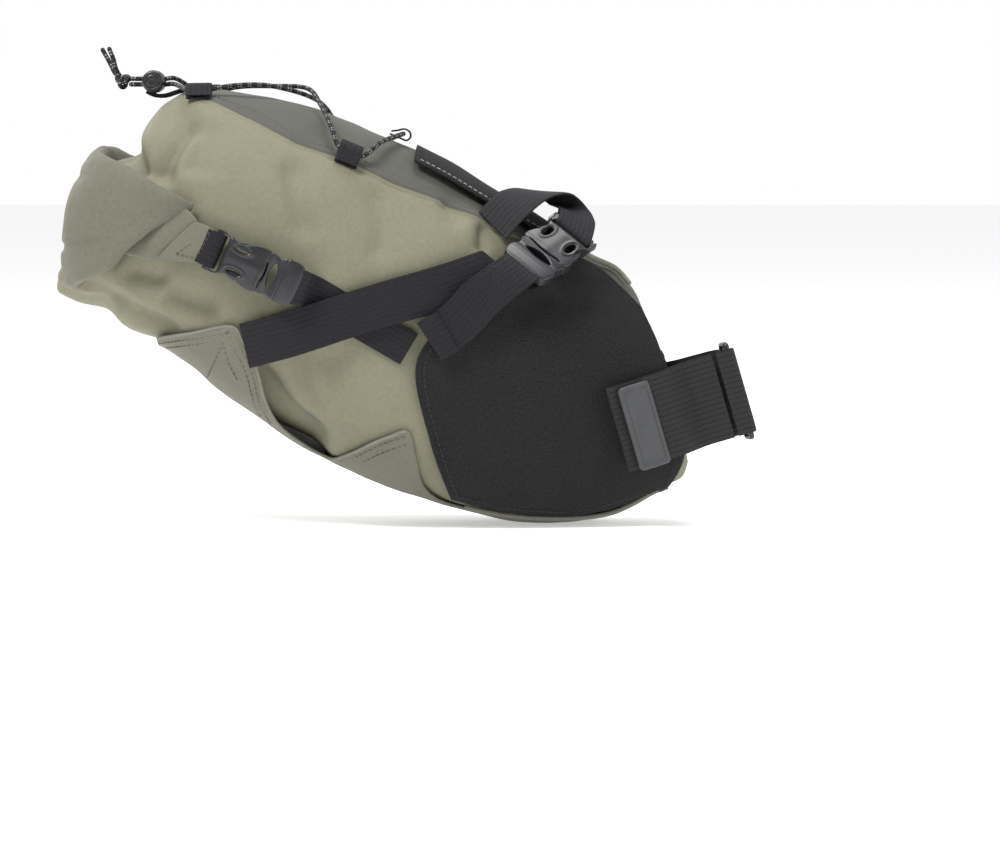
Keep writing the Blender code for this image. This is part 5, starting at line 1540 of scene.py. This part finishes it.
def build_nose():
    """Grippy pad with moulded ribs, and a small webbing loop on the nose's top."""
    middle, half, _ = section(np.float64(0.0))
    outward = unit(np.array((half[2], 0, -half[0])))
    up = unit(half)
    a, b = np.meshgrid(np.linspace(-1, 1, 140), np.linspace(-1, 1, 60), indexing="ij")
    height, width = 0.0275, 0.0175
    square = (np.abs(a) ** 8 + np.abs(b) ** 8) ** (1 / 8)
    biggest = np.maximum(np.abs(a), np.abs(b))
    k = np.where(square > 0, biggest / np.maximum(square, 1e-9), 1.0)
    u, v = a * k * height, b * k * width
    ribs = 0.0003 * np.clip(np.sin(u * 2 * pi / 0.0035) * 2, -1, 1) * smoothstep((1 - biggest) / 0.08)
    points = (middle + up * u[..., None] + np.array((0, 1.0, 0)) * v[..., None]
              + outward * (0.0004 + ribs + 0.0003)[..., None])
    item = sheet("grip_pad", points, np.broadcast_to(outward, points.shape), PAD, 0.0016)
    dress(item, "grip_pad", "front_pad")
    for name, side in SIDES:
        path = ((-0.0745, 0.0898), (-0.0705, 0.0925), (-0.0668, 0.0890), (-0.0690, 0.0840), (-0.0735, 0.0850))
        rows = [[(x + 0.0008 * k, side * (0.0180 + 0.0045 * k), z) for k in (-1, 0, 1)] for x, z in path]
        dress(band("nose_tab_" + name, rows, STRAP, 0.0010, columns=7, spacing=0.0012), "webbing")


# ---------------------------------------------------------------- everything

build_base()
build_base_stitching()
build_base_bindings()
build_side_panels()
build_pipings()
build_top_cover()
build_seam_stitching()
build_roll()
build_roll_ends()
build_buckles()
build_straps()
build_post_strap()
build_cord()
build_lock()
build_loops()
build_nose()

for node, material in (("base_stiffener", SHEET), ("cord_lock_spring", WIRE)):
    NODES[node].data.materials.clear()
    NODES[node].data.materials.append(material)


# ---------------------------------------------------------------- camera, light and floor

def look_at(item, target):
    item.rotation_euler = (Vector(target) - item.location).to_track_quat("-Z", "Y").to_euler()


def area_light(name, place, target, size, power, colour=(1, 1, 1)):
    data = bpy.data.lights.new(name, "AREA")
    data.shape, data.size, data.size_y = "RECTANGLE", size[0], size[1]
    data.energy, data.color = power, colour
    item = bpy.data.objects.new(name, data)
    item.location = place
    bpy.context.scene.collection.objects.link(item)
    look_at(item, target)


DISTANCE, ELEVATION = 2.4, radians(4.0)
TARGET = Vector((-0.1164, -0.03, -0.0167))
camera_data = bpy.data.cameras.new("camera")
camera_data.sensor_width, camera_data.lens = 36.0, 36.0 * DISTANCE / 0.575
camera_data.clip_start, camera_data.clip_end = 0.05, 50
camera = bpy.data.objects.new("camera", camera_data)
camera.location = TARGET + Vector((0, -cos(ELEVATION), sin(ELEVATION))) * DISTANCE
bpy.context.scene.collection.objects.link(camera)
look_at(camera, TARGET)
bpy.context.scene.camera = camera

MIDDLE = (-0.16, 0.0, 0.05)
area_light("key", (-1.1, -1.2, 1.9), MIDDLE, (0.9, 0.7), 62)
area_light("fill", (1.6, -1.1, 0.6), MIDDLE, (0.8, 0.8), 12)
area_light("top", (0.1, 0.2, 2.0), MIDDLE, (1.0, 1.0), 26)
area_light("back", (-1.2, 1.3, 0.9), MIDDLE, (1.0, 1.0), 10)

world = bpy.data.worlds.new("studio")
world.use_nodes = True
tree = world.node_tree
backdrop = tree.nodes["Background"]
backdrop.inputs["Color"].default_value = (1, 1, 1, 1)
# white behind the bag and dimmer in front of it, so that the lamps model its folds
direction, split, shade = (tree.nodes.new("ShaderNode" + kind)
                           for kind in ("TexCoord", "SeparateXYZ", "MapRange"))
tree.links.new(direction.outputs["Generated"], split.inputs[0])
tree.links.new(split.outputs["Y"], shade.inputs["Value"])
for socket, value in (("From Min", -0.3), ("From Max", 0.7), ("To Min", 0.32), ("To Max", 1.0)):
    shade.inputs[socket].default_value = value
tree.links.new(shade.outputs["Result"], backdrop.inputs["Strength"])
bpy.context.scene.world = world

floor_nodes = Nodes("floor_paint")
floor_nodes.finish((0.90, 0.90, 0.90, 1), 0.95, specular=0.0)
floor_nodes.shader.inputs["Emission Color"].default_value = (1, 1, 1, 1)
floor_nodes.shader.inputs["Emission Strength"].default_value = 0.40
FLOOR_Z = cad_box[0][2] - 0.0015
bm = bmesh.new()
bmesh.ops.create_grid(bm, x_segments=1, y_segments=1, size=12)
mesh = bpy.data.meshes.new("floor")
bm.to_mesh(mesh)
bm.free()
floor = bpy.data.objects.new("floor", mesh)
floor.location = (0, 0, FLOOR_Z)
mesh.materials.append(floor_nodes.material)
bpy.context.scene.collection.objects.link(floor)

bpy.context.scene.view_settings.view_transform = "Standard"

bpy.context.view_layer.update()
